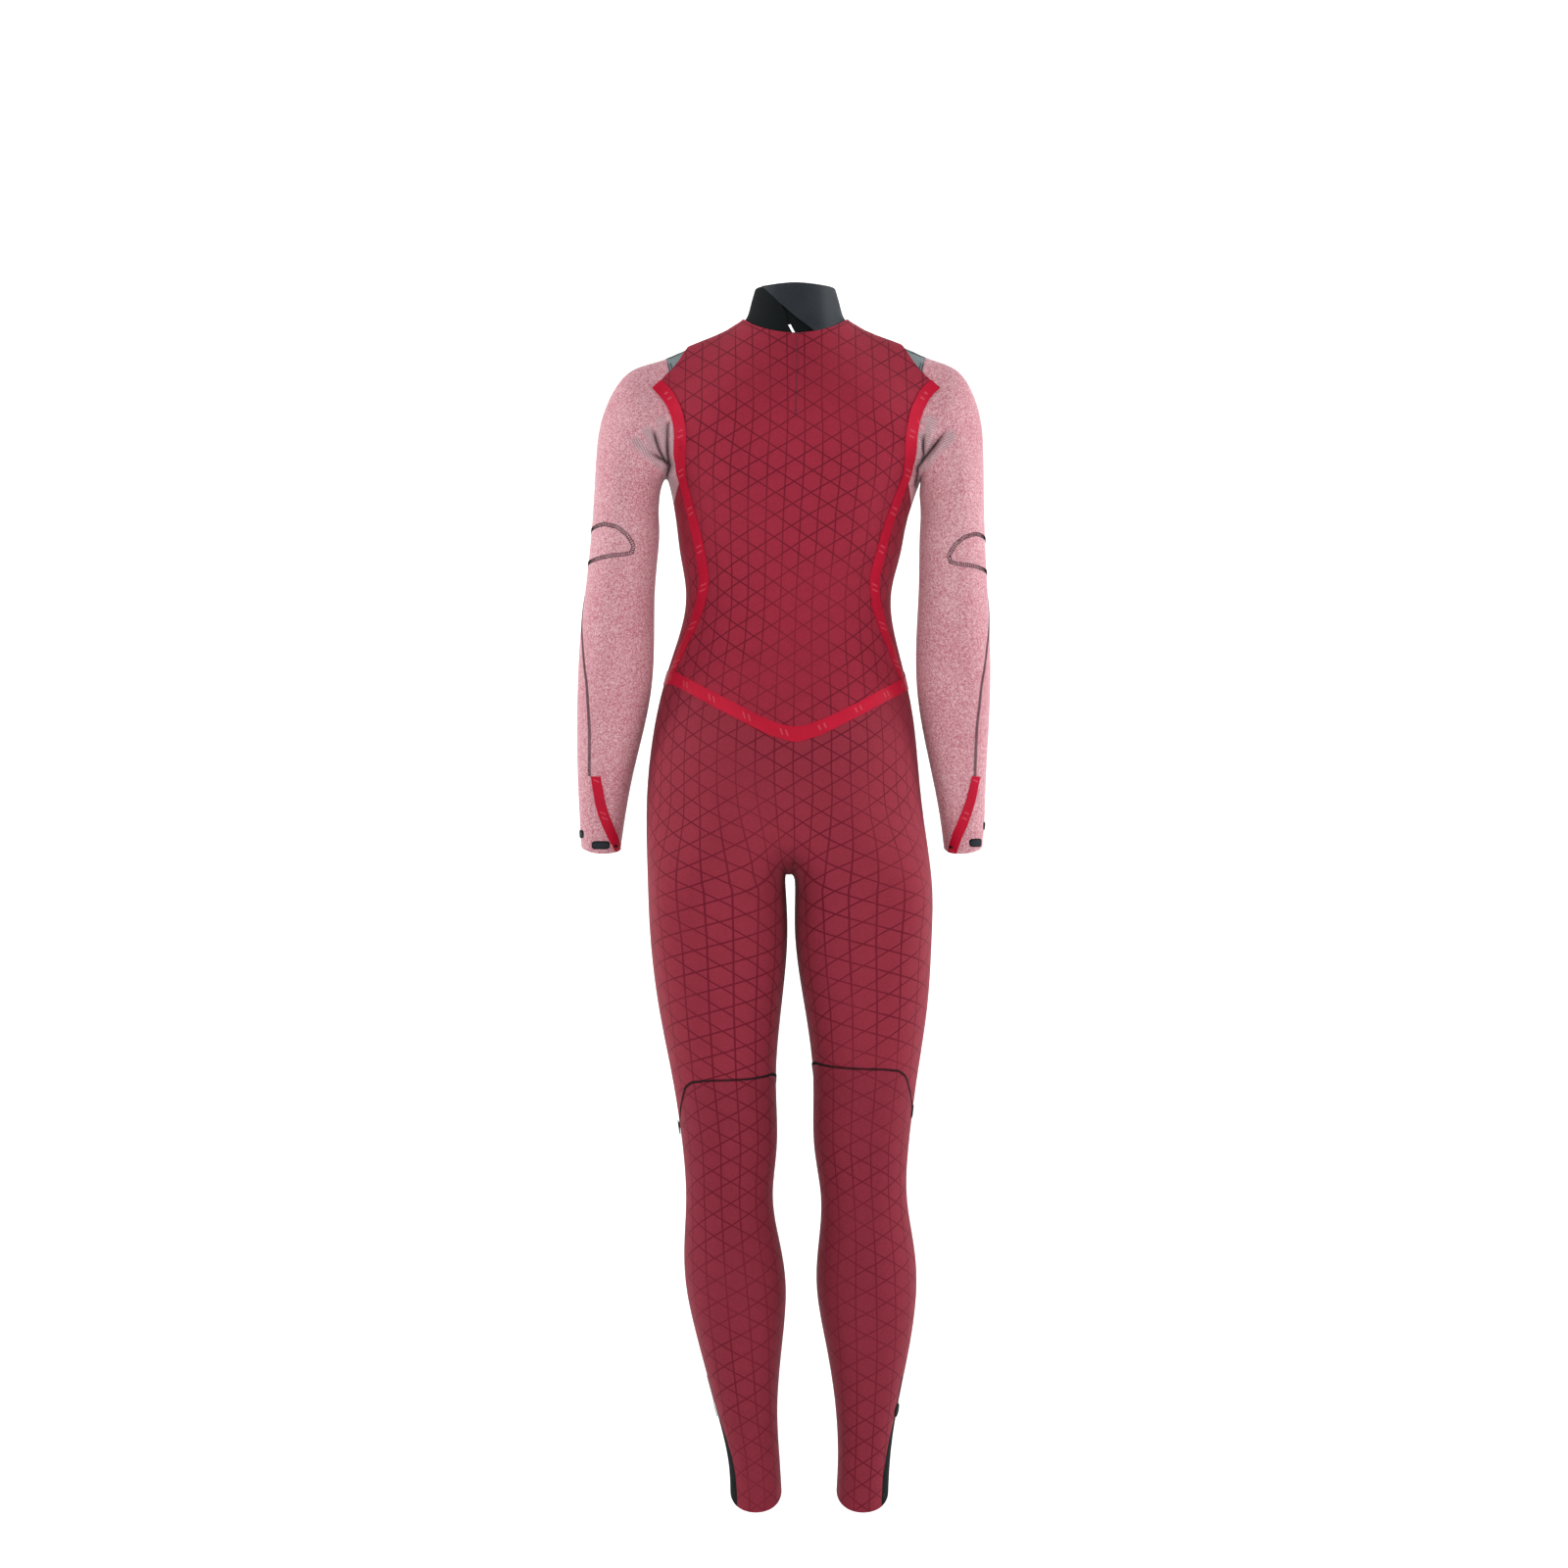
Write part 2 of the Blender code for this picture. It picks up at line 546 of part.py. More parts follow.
def ankle_field(side):
    """Positive on the ankle panel."""
    inner = ANKLE_INNER_ANGLE[0 if side < 0 else 1]

    def field(points):
        z = points[:, 2]
        angle = leg_angle(points, side)
        edge = read_table(ANKLE_EDGE, z)
        radius = 0.033
        past_outer = np.radians(np.where(angle > -20.0, angle - edge, 180.0 - edge)) * radius
        past_inner = np.radians(np.where(angle < -20.0, inner - angle, 180.0 + inner)) * radius
        round_front = np.where(angle < edge - 90.0, angle + 360.0, angle)
        top = ANKLE_TOP_Z + ANKLE_TOP_RISE * smooth_step(round_front, 90.0, 260.0)
        return np.minimum(np.minimum(past_outer, past_inner), top - z)
    return field


def elbow_field(side):
    """Positive inside the elbow panel's outline."""
    slot = 0 if side < 0 else 1
    middle_x, middle_y = ELBOW_AXIS[slot]
    outline = [(math.radians(angle + ELBOW_TURN[slot]) * ELBOW_RADIUS, z - ELBOW_DROP[slot])
               for angle, z in ELBOW_OUTLINE]
    path = np.array(outline + outline[:1])

    def field(points):
        angle = np.arctan2(side * (points[:, 0] - middle_x), -(points[:, 1] - middle_y))
        angle = np.where(angle < -2.2, angle + 2.0 * math.pi, angle)
        flat = np.column_stack((angle * ELBOW_RADIUS, points[:, 2]))
        sign = np.where(inside_outline(flat, outline), 1.0, -1.0)
        return sign * distance_to_path(flat, path)
    return field


def collar_line_field(edge):
    """Positive to the right of an edge that is drawn on the back of the collar."""
    def field(points):
        return (points[:, 0] - read_table([(z, x) for x, z in edge], points[:, 2])) * 0.75
    return field


def tag_is(*tags):
    return lambda face: face.material_index in tags


def is_back(face):
    return face.calc_center_median().y < -0.004


def cut_seams(skin):
    """Cut every seam and every edge of a tape into the form."""
    tree = BVHTree.FromBMesh(skin)

    def torso_back(face):
        return face.material_index == TORSO_BACK

    def back_and_sleeves(face):
        middle = face.calc_center_median()
        sleeve = face.material_index in (SLEEVE_LEFT, SLEEVE_RIGHT)
        near = abs(middle.x) < 0.175 and middle.z > -0.17 and middle.y < -0.004
        return torso_back(face) or (sleeve and near)

    def front_and_sleeves(face):
        middle = face.calc_center_median()
        sleeve = face.material_index in (SLEEVE_LEFT, SLEEVE_RIGHT)
        near = abs(middle.x) < 0.165 and middle.z > -0.17 and middle.y > -0.004
        return (face.material_index == TORSO_FRONT and middle.z > -0.24) or (sleeve and near)

    # Hip seam and the edges of its tape
    torso = tag_is(TORSO_BACK, TORSO_FRONT)
    cut(skin, "hip", hip_field, torso)
    cut(skin, "hip_tape", lambda points: np.abs(hip_field(points)) - TAPE_HALF_WIDTH, torso)

    # Edges of the inner panel, the sleeves, the yokes and the front armholes
    hip = skin.faces.layers.int["hip"]
    cut(skin, "sleeve_edge", sleeve_edge_field, lambda face: back_and_sleeves(face) and face[hip] >= 0)
    cut(skin, "panel_edge", panel_edge_field, lambda face: torso_back(face) and
        face.calc_center_median().z > YOKE_FOOT_Z - 0.012 and abs(face.calc_center_median().x) > 0.09)
    cut(skin, "front_armhole", front_armhole_field, front_and_sleeves)

    def beside_armhole(face):
        layer = skin.faces.layers.int["sleeve_edge" if face.material_index == TORSO_BACK else
                                       "front_armhole"]
        return face.material_index in (TORSO_BACK, TORSO_FRONT) and face[layer] > 0
    cut(skin, "underarm", underarm_field, beside_armhole)

    # Shoulder tabs, across the ridge
    def shoulder(face, tag=TORSO_FRONT):
        middle = face.calc_center_median()
        return face.material_index == tag and middle.z > -0.085 and abs(middle.x) > 0.10

    panel_side = skin.faces.layers.int["panel_edge"]
    sleeve_side = skin.faces.layers.int["sleeve_edge"]

    def yoke(face):
        return shoulder(face, TORSO_BACK) and face[panel_side] > 0 and face[sleeve_side] < 0
    ridge_y = SHOULDER_POINT[1]
    cut(skin, "tab_inner", lambda points: offset_from_lean(points) - TAB_INNER_X,
        lambda face: shoulder(face) or yoke(face))
    cut(skin, "tab_front", lambda points: points[:, 1] - ridge_y - TAB_DEPTH, shoulder)
    cut(skin, "tab_back", lambda points: points[:, 1] - ridge_y + TAB_BACK_DEPTH, yoke)

    # Edges of the princess tapes
    heights = np.linspace(CORNER_Z, -0.4080, 40)
    for side, name in ((-1, "princess_left"), (1, "princess_right")):
        path = [drape(tree, float(lean(z)) + side * float(read_table(PANEL_EDGE, z)), z, -1)
                for z in heights]
        corner_run = path[0] - path[1]
        path.insert(0, path[0] + corner_run / np.linalg.norm(corner_run) * 0.012)
        path = np.array(path)

        def near_seam(face, side=side):
            middle = face.calc_center_median()
            return back_and_sleeves(face) and middle.x * side > 0.05 and face[hip] >= 0
        cut(skin, name, lambda points: distance_to_path(points, path) - TAPE_HALF_WIDTH, near_seam)

        def end_field(points, side=side):
            across = side * (points[:, 0] - lean(points[:, 2])) - read_table(PANEL_EDGE, CORNER_Z)
            above = points[:, 2] - CORNER_Z
            return across * -TAPE_END_SLOPE[1] + above * TAPE_END_SLOPE[0]
        band = skin.faces.layers.int[name]
        cut(skin, name + "_end", end_field,
            lambda face: near_seam(face) and face[band] < 0 and face.calc_center_median().z > -0.11)

    # The zip between the two halves of the outer back
    lean_field = lambda points: points[:, 0] - lean(points[:, 2])
    edge = skin.faces.layers.int["sleeve_edge"]

    def mid_back(face):
        middle = face.calc_center_median()
        return torso_back(face) and face[edge] < 0 and face[hip] > 0 and abs(middle.x) < 0.045
    cut(skin, "zip_end", lambda points: points[:, 2] - ZIP_END_Z, mid_back)
    above = skin.faces.layers.int["zip_end"]
    cut(skin, "middle", lean_field, mid_back)
    cut(skin, "chain", lambda points: np.abs(lean_field(points)) - ZIP_CHAIN_HALF_WIDTH,
        lambda face: mid_back(face) and face[above] > 0)
    cut(skin, "zip_tape", lambda points: np.abs(lean_field(points)) - ZIP_TAPE_HALF_WIDTH,
        lambda face: mid_back(face) and face[above] > 0)

    # Limbs
    for side, leg in ((-1, LEG_LEFT), (1, LEG_RIGHT)):
        cut(skin, "knee", knee_field(side), lambda face, leg=leg: face.material_index == leg and
            -1.0 < face.calc_center_median().z < -0.80)
        cut(skin, "ankle", ankle_field(side), lambda face, leg=leg: face.material_index == leg and
            face.calc_center_median().z < -1.19)
    for side, sleeve in ((-1, SLEEVE_LEFT), (1, SLEEVE_RIGHT)):
        cut(skin, "elbow", elbow_field(side), lambda face, sleeve=sleeve: face.material_index == sleeve and
            -0.32 < face.calc_center_median().z < -0.19)
        column = 1 if side < 0 else 2
        tape = [drape(tree, float(read_table(WRIST_TAPE, z, column)), z, -1)
                for z in np.linspace(-0.505, -0.6000, 14)]
        tape.append(tape[-1] + (tape[-1] - tape[-2]) * 2.5)
        tape = np.array(tape)

        def wrist_back(face, sleeve=sleeve):
            middle = face.calc_center_median()
            return face.material_index == sleeve and middle.z < -0.485

        def tape_side(points, column=column):
            return points[:, 0] - read_table(WRIST_TAPE, points[:, 2], column)

        def facing_back(face):
            return wrist_back(face) and face.normal.y < 0.0
        cut(skin, "wrist_middle", tape_side, facing_back)
        cut(skin, "wrist_tape", lambda points: distance_to_path(points, tape) - WRIST_TAPE_HALF_WIDTH,
            wrist_back)
        cut(skin, "wrist_top", lambda points: points[:, 2] - WRIST_TAPE_TOP_Z,
            lambda face: facing_back(face) and face[skin.faces.layers.int["wrist_tape"]] < 0)

    # Collar edges
    collar = tag_is(COLLAR)
    collar_back = lambda face: collar(face) and is_back(face)
    front_middle = lambda face: collar(face) and not is_back(face)
    cut(skin, "collar_front", lean_field, front_middle)
    cut(skin, "over_flap", collar_line_field(OVER_FLAP_EDGE), collar_back)
    cut(skin, "under_flap", collar_line_field(UNDER_FLAP_EDGE), collar_back)
    notch = [(x + NOTCH_WIDTH, z) for x, z in UNDER_FLAP_EDGE]
    cut(skin, "notch", collar_line_field(notch), collar_back)
    cut(skin, "notch_top", lambda points: points[:, 2] - NOTCH_TOP_Z, collar_back)
    cut(skin, "flap_left", lambda points: points[:, 0] - INNER_FLAP_LEFT, collar_back)
    cut(skin, "flap_right", lambda points: points[:, 0] - INNER_FLAP_RIGHT, collar_back)
    bmesh.ops.triangulate(skin, faces=skin.faces[:], quad_method="SHORT_EDGE", ngon_method="BEAUTY")
    skin.normal_update()
    skin.verts.index_update()


# Panels

def panel_faces(skin):
    """Faces of each panel by name."""
    side = {layer.name: layer for layer in (skin.faces.layers.int[name]
                                           for name in skin.faces.layers.int.keys())}
    panels = {}

    def put(name, face):
        panels.setdefault(name, []).append(face)

    for face in skin.faces:
        tag = face.material_index
        middle = face.calc_center_median()
        hand = "left" if middle.x < lean(middle.z) else "right"
        side_of = lambda name: face[side[name]]
        if tag in (TORSO_BACK, TORSO_FRONT):
            if side_of("hip_tape") < 0:
                put("hip_tape", face)
            if side_of("hip") < 0:
                put("seat_thighs", face)
                continue
        if tag in (TORSO_BACK, SLEEVE_LEFT, SLEEVE_RIGHT):
            band = side_of("princess_" + hand) < 0 and side_of("princess_" + hand + "_end") <= 0
            if band and side_of("hip_tape") >= 0 and side_of("hip") >= 0 and middle.y < 0.0:
                put("princess_tape_" + hand, face)
        if tag in (SLEEVE_LEFT, SLEEVE_RIGHT):
            if side_of("wrist_tape") < 0 and side_of("wrist_top") < 0:
                put("wrist_tape_" + hand, face)
            if side_of("elbow") > 0:
                put("elbow_panel_" + hand, face)
            elif side_of("sleeve_edge") < 0 and middle.y < 0.0:
                put("back_inner_panel", face)
            else:
                put("sleeve_" + hand, face)
        elif tag == TORSO_BACK:
            if side_of("sleeve_edge") > 0:
                put("sleeve_" + hand if side_of("underarm") > 0 else "front_panel", face)
            elif side_of("panel_edge") > 0:
                on_tab = side_of("tab_inner") > 0 and side_of("tab_back") > 0
                put(("shoulder_tab_" if on_tab else "yoke_") + hand, face)
            else:
                put("back_inner_panel", face)
                if side_of("chain") < 0:
                    put("zip_chain", face)
                elif side_of("zip_tape") < 0:
                    put("zip_tape_" + hand, face)
                else:
                    put("outer_back_" + hand, face)
        elif tag == TORSO_FRONT:
            if side_of("front_armhole") > 0 and side_of("underarm") > 0:
                put("sleeve_" + hand, face)
            elif side_of("tab_inner") > 0 and side_of("tab_front") < 0:
                put("shoulder_tab_" + hand, face)
            else:
                put("front_panel", face)
        elif tag in (LEG_LEFT, LEG_RIGHT):
            hand = "left" if tag == LEG_LEFT else "right"
            if side_of("knee") > 0 or middle.z > -0.80:
                put("seat_thighs", face)
            elif side_of("ankle") > 0:
                put("ankle_panel_" + hand, face)
            else:
                put("lower_leg_" + hand, face)
        elif tag == COLLAR:
            back = is_back(face)
            if (back and side_of("under_flap") < 0) or (not back and side_of("collar_front") < 0):
                put("collar_left_band", face)
            if (back and side_of("over_flap") > 0) or (not back and side_of("collar_front") > 0):
                put("collar_over_flap", face)
            clear_of_notch = side_of("notch") > 0 or side_of("notch_top") > 0
            between = side_of("flap_left") > 0 and side_of("flap_right") < 0
            if back and between and clear_of_notch:
                put("collar_inner_flap", face)
    return panels


def shoulder_lift(point):
    """How far the inner panel stands off the form."""
    return SHOULDER_LIFT * float(smooth_step(point.z, LIFT_START_Z, LIFT_FULL_Z))


def flap_lift(point):
    """How far the collar's over-flap stands off the form."""
    at_back = float(smooth_step(-point.y, -0.010, 0.020))
    over_band = 1.0 - float(smooth_step(point.x, 0.032, 0.052))
    return FLAP_LIFT * at_back * over_band


def raise_wall(name, faces, outer, inner, inset=SEAM_GAP / 2.0):
    """A closed wall on a panel's faces, between two offsets along the form's own normals."""
    chosen = set(faces)
    corners = list({corner for face in faces for corner in face.verts})
    edge_turns = {}
    borders = []
    for face in faces:
        for loop in face.loops:
            if sum(1 for other in loop.edge.link_faces if other in chosen) == 1:
                start, end = loop.vert, loop.link_loop_next.vert
                inward = face.normal.cross((end.co - start.co).normalized())
                borders.append((start, end))
                for corner in (start, end):
                    edge_turns.setdefault(corner, []).append(inward)
    wall = bmesh.new()
    outside = {}
    inside = {}
    for corner in corners:
        base = corner.co.copy()
        turns = edge_turns.get(corner)
        if turns:
            total = Vector((0.0, 0.0, 0.0))
            for turn in turns:
                total += turn
            direction = total.normalized()
            spread = max(direction.dot(turns[0]), 0.45)
            base += direction * (inset / spread)
        normal = corner.normal
        outside[corner] = wall.verts.new(base + normal * outer(corner.co))
        inside[corner] = wall.verts.new(base + normal * inner(corner.co))
    for face in faces:
        ring = [loop.vert for loop in face.loops]
        wall.faces.new([outside[corner] for corner in ring])
        wall.faces.new([inside[corner] for corner in reversed(ring)])
    for start, end in borders:
        # The diagonal runs from the older point's outer side, so that panels that meet have the same rim
        if start.index < end.index:
            wall.faces.new((outside[end], outside[start], inside[end]))
            wall.faces.new((outside[start], inside[start], inside[end]))
        else:
            wall.faces.new((outside[end], outside[start], inside[start]))
            wall.faces.new((outside[end], inside[start], inside[end]))
    mesh = bpy.data.meshes.new(name)
    wall.to_mesh(mesh)
    wall.free()
    return bpy.data.objects.new(name, mesh)


def finish_material(finish):
    material = bpy.data.materials.get(finish)
    if material is None:
        colour, roughness = FINISHES[finish]
        material = bpy.data.materials.new(finish)
        material.use_nodes = True
        shader = material.node_tree.nodes["Principled BSDF"]
        shader.inputs["Base Color"].default_value = (*colour, 1.0)
        shader.inputs["Roughness"].default_value = roughness
        shader.inputs["Metallic"].default_value = 0.0
    return material


def wear(piece, finish, collection):
    """Link a piece and give it its finish."""
    piece.data.materials.append(finish_material(finish))
    piece.data.shade_smooth()
    piece.data.set_sharp_from_angle(angle=math.radians(40.0))
    collection.objects.link(piece)


PANEL_RULES = {
    "back_inner_panel": ("red_lining", shoulder_lift, INNER_PANEL_WALL),
    "front_panel": ("red_lining", None, BODY_WALL),
    "seat_thighs": ("dark_red_lining", None, BODY_WALL),
    "sleeve": ("heather_lining", None, LIMB_WALL),
    "elbow_panel": ("heather_lining", None, LIMB_WALL),
    "lower_leg": ("dark_red_lining", None, LIMB_WALL),
    "ankle_panel": ("black_neoprene", None, LIMB_WALL),
    "yoke": ("grey_jersey", None, LIMB_WALL),
    "shoulder_tab": ("black_neoprene", None, LIMB_WALL),
    "collar_left_band": ("black_neoprene", None, COLLAR_WALL),
    "collar_over_flap": ("smooth_skin", flap_lift, COLLAR_WALL),
}


def build_panels(skin, collection):
    panels = panel_faces(skin)
    under = INNER_PANEL_WALL + SEAM_GAP

    for name, faces in panels.items():
        kind = name.replace("_left", "").replace("_right", "") if name not in PANEL_RULES else name
        if kind in PANEL_RULES:
            finish, lift, thickness = PANEL_RULES[kind]
            outer = lift or (lambda point: 0.0)
            inner = lambda point, outer=outer, thickness=thickness: outer(point) - thickness
        elif kind == "outer_back":
            finish = "black_neoprene"
            outer = lambda point: shoulder_lift(point) - under
            inner = lambda point: shoulder_lift(point) - under - OUTER_BACK_WALL
        elif kind in ("zip_chain", "zip_tape"):
            finish = "zip_plastic"
            thickness = ZIP_CHAIN_WALL if kind == "zip_chain" else ZIP_TAPE_WALL
            outer = lambda point: shoulder_lift(point) - under
            inner = lambda point, thickness=thickness: shoulder_lift(point) - under - thickness
        elif kind == "collar_inner_flap":
            finish = "black_neoprene"
            outer = lambda point: -COLLAR_WALL - SEAM_GAP
            inner = lambda point: -COLLAR_WALL - SEAM_GAP - INNER_FLAP_WALL
        else:
            finish = "red_tape"
            lifted = kind == "princess_tape"
            base = shoulder_lift if lifted else (lambda point: 0.0)
            outer = lambda point, base=base: base(point) + SEAM_GAP + TAPE_WALL
            inner = lambda point, base=base: base(point) + SEAM_GAP
        wear(raise_wall(name, faces, outer, inner), finish, collection)


def build_dots(skin, collection):
    """Flat round dots on the seam ends of the legs."""
    tree = BVHTree.FromBMesh(skin)
    for name, slot, z, angle in DOTS:
        side = -1 if slot == 0 else 1
        middle = float(read_table([(row[0], row[1 + slot]) for row in LEG_RINGS], z))
        turn = math.radians(angle)
        aim = Vector((side * math.sin(turn), -math.cos(turn), 0.0))
        hit, normal, _, _ = tree.ray_cast(Vector((middle, 0.0, z)) + aim * 0.2, -aim)
        bpy.ops.mesh.primitive_cylinder_add(vertices=16, radius=DOT_RADIUS, depth=DOT_WALL)
        dot = bpy.context.object
        dot.name = name
        dot.data.name = name
        dot.location = hit + normal * (SEAM_GAP + DOT_WALL)
        dot.rotation_euler = normal.to_track_quat("Z", "Y").to_euler()
        for owner in list(dot.users_collection):
            owner.objects.unlink(dot)
        wear(dot, "black_neoprene", collection)


def build_slider(skin, collection):
    """The zip's slider, on the chain's hidden face, near the neck."""
    tree = BVHTree.FromBMesh(skin)
    x = float(lean(SLIDER_Z))
    hit, normal, _, _ = tree.ray_cast(Vector((x, -1.0, SLIDER_Z)), Vector((0.0, 1.0, 0.0)))
    lift = shoulder_lift(hit)
    depth = INNER_PANEL_WALL + 2.0 * SEAM_GAP + ZIP_CHAIN_WALL - lift + SLIDER_SIZE[2] / 2.0 + 0.0006
    bpy.ops.mesh.primitive_cube_add(size=1.0)
    slider = bpy.context.object
    slider.name = "zip_slider"
    slider.data.name = "zip_slider"
    slider.data.transform(Matrix.Diagonal((*SLIDER_SIZE, 1.0)))
    slider.location = hit - normal * depth
    slider.rotation_euler = normal.to_track_quat("Z", "Y").to_euler()
    bevel = slider.modifiers.new("round_edges", "BEVEL")
    bevel.width = 0.0008
    bevel.segments = 2
    for owner in list(slider.users_collection):
        owner.objects.unlink(slider)
    wear(slider, "zip_plastic", collection)


def main():
    for item in list(bpy.data.objects):
        bpy.data.objects.remove(item)
    collection = bpy.data.collections.new(COLLECTION_NAME)
    bpy.context.scene.collection.children.link(collection)
    skin = smooth_form()
    cut_seams(skin)
    build_panels(skin, collection)
    build_dots(skin, collection)
    build_slider(skin, collection)
    skin.free()


main()
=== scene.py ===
"""Back-zip wetsuit, turned inside out and filled out as worn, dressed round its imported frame.

Metres, +Z up. The garment's back faces -Y, its front +Y, and the origin is the middle of the neck's base.
The panels are raised from one smooth form, whose tables and seams are those of the solids, but for the
outer edge of the ankle panels.
"""

import math

import bmesh
import bpy
import numpy as np
from bpy.props import FloatProperty, FloatVectorProperty, IntProperty, PointerProperty
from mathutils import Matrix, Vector
from mathutils.bvhtree import BVHTree


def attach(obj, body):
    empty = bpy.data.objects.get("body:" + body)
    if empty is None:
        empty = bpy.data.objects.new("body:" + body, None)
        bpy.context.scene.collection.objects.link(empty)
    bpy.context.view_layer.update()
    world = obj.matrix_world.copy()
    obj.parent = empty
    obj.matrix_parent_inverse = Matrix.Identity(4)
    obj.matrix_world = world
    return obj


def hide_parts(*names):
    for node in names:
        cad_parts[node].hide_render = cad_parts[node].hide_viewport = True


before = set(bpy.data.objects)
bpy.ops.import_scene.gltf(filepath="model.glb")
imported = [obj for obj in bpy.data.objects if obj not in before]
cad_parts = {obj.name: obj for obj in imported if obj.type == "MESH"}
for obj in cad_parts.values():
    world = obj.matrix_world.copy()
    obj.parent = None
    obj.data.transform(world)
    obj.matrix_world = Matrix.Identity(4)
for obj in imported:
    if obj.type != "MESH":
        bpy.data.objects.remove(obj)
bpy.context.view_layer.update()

bl_info = {
    "name": "Back-zip wetsuit",
    "version": (1, 0, 0),
    "blender": (4, 5, 0),
    "location": "View3D > Sidebar > Wetsuit",
    "description": "Panels, seams, stitching and studio of a back-zip wetsuit that is turned inside out",
    "category": "Object",
}

# Form, walls and layers
FIT_ROUNDS = 4               # passes that push the cage out until the smooth form meets the tables
SEAM_GAP = 0.0003            # between panels that are sewn edge to edge, and between layers
SNAP_SHARE = 0.12            # a point nearer to a seam than this share of its edge counts as on it
INNER_FLAP_WALL = 0.0015
OUTER_BACK_WALL = 0.0025
ZIP_CHAIN_WALL = 0.002
ZIP_TAPE_WALL = 0.001
SHOULDER_LIFT = 0.0026       # how far the inner panel stands proud at its free shoulder edges
LIFT_START_Z = -0.135
LIFT_FULL_Z = -0.075
FLAP_LIFT = 0.0023           # the collar's over-flap on the band beneath it
TAPE_WALL = 0.0006
TAPE_HALF_WIDTH = 0.0075
WRIST_TAPE_HALF_WIDTH = 0.006
WRIST_TAPE_TOP_Z = -0.5187
ZIP_CHAIN_HALF_WIDTH = 0.003
ZIP_TAPE_HALF_WIDTH = 0.014
ZIP_END_Z = -0.36

# Parts of the form, kept as tags of its faces, and the columns of points round each
TORSO_BACK, TORSO_FRONT, SLEEVE_LEFT, SLEEVE_RIGHT, LEG_LEFT, LEG_RIGHT, COLLAR = range(7)
BODY_COLUMNS = 16
SLEEVE_COLUMNS = 8
LEG_COLUMNS = 12
HANDS = ((-1, "left"), (1, "right"))

# How far the faces reach in which the seams are cut
MIDDLE_Y = -0.004            # between the back and the front
ARMHOLE_FOOT_Z = -0.17
CHEST_FOOT_Z = -0.24
BACK_SEAM_REACH = 0.175      # how far out the seams of the back run on the sleeves
FRONT_SEAM_REACH = 0.165
SHOULDER_FOOT_Z = -0.085
SHOULDER_INNER_X = 0.1
YOKE_INNER_X = 0.09
YOKE_MARGIN = 0.012
PRINCESS_FOOT_Z = -0.408
PRINCESS_INNER_X = 0.05
PRINCESS_END_Z = -0.11
PRINCESS_OVERRUN = 0.012     # how far the tape's line runs on past the corner
MID_BACK_REACH = 0.045
KNEE_SPAN = (-1.0, -0.8)
ANKLE_HEAD_Z = -1.19
ELBOW_SPAN = (-0.32, -0.19)
WRIST_HEAD_Z = -0.485
WRIST_TAPE_SPAN = (-0.505, -0.6)
WRIST_OVERRUN = 2.5          # how far the tape's line runs on past the cuff, in steps of the line

# How the middle of the body leans: height, sideways shift
LEAN = (
    (-0.7, -0.002), (-0.627, -0.004), (-0.57, -0.0075), (-0.51, -0.0096), (-0.45, -0.0085),
    (-0.395, -0.007), (-0.345, -0.005), (-0.303, -0.0035), (-0.262, -0.0015), (-0.222, 0.0),
    (-0.176, 0.003), (-0.125, 0.005), (0.0, 0.004), (0.06, 0.004))

# Whole rings of the body, from the armpits down: height, half width, depth behind, depth in front,
# how far the bust stands out in front, how far the middle of the back sinks in
BODY_RINGS = (
    (-0.176, 0.1465, 0.102, 0.096, 0.005, 0.003),
    (-0.222, 0.1335, 0.1, 0.112, 0.01, 0.004),
    (-0.262, 0.1272, 0.092, 0.116, 0.008, 0.004),
    (-0.303, 0.1187, 0.083, 0.105, 0.002, 0.004),
    (-0.345, 0.1215, 0.08, 0.1, 0.0, 0.004),
    (-0.395, 0.1352, 0.086, 0.1, 0.0, 0.003),
    (-0.45, 0.1482, 0.1, 0.104, 0.0, 0.001),
    (-0.51, 0.1555, 0.113, 0.101, 0.0, 0.002),
    (-0.57, 0.16, 0.118, 0.09, 0.0, 0.007))
BODY_ROUNDNESS = 2.3

# Rows of the upper back and chest, open at the armholes: height at the armhole, height in the middle,
# half width, depth behind at the armhole and in the middle, depth in front at the armhole and in the middle
UPPER_ROWS = (
    (-0.13, -0.122, 0.14, 0.07, 0.103, 0.06, 0.092),
    (-0.086, -0.068, 0.1465, 0.05, 0.09, 0.04, 0.076))
SHOULDER_POINT = (0.15, -0.004, -0.0362)
SHOULDER_RISE_RIGHT = 0.0022
RIDGE_CREASE = 0.25          # how crisp the ridge of the shoulders is, from 0 to 1

# The collar, from the neck seam up: half width, depth behind, depth in front,
# height at the sides, behind and in front
COLLAR_RINGS = (
    (0.0585, 0.06, 0.054, 0.0055, -0.015, -0.04),
    (0.0535, 0.056, 0.051, 0.016, 0.004, -0.029),
    (0.0505, 0.0548, 0.05, 0.027, 0.022, -0.018),
    (0.047, 0.0535, 0.049, 0.0385, 0.044, -0.007))

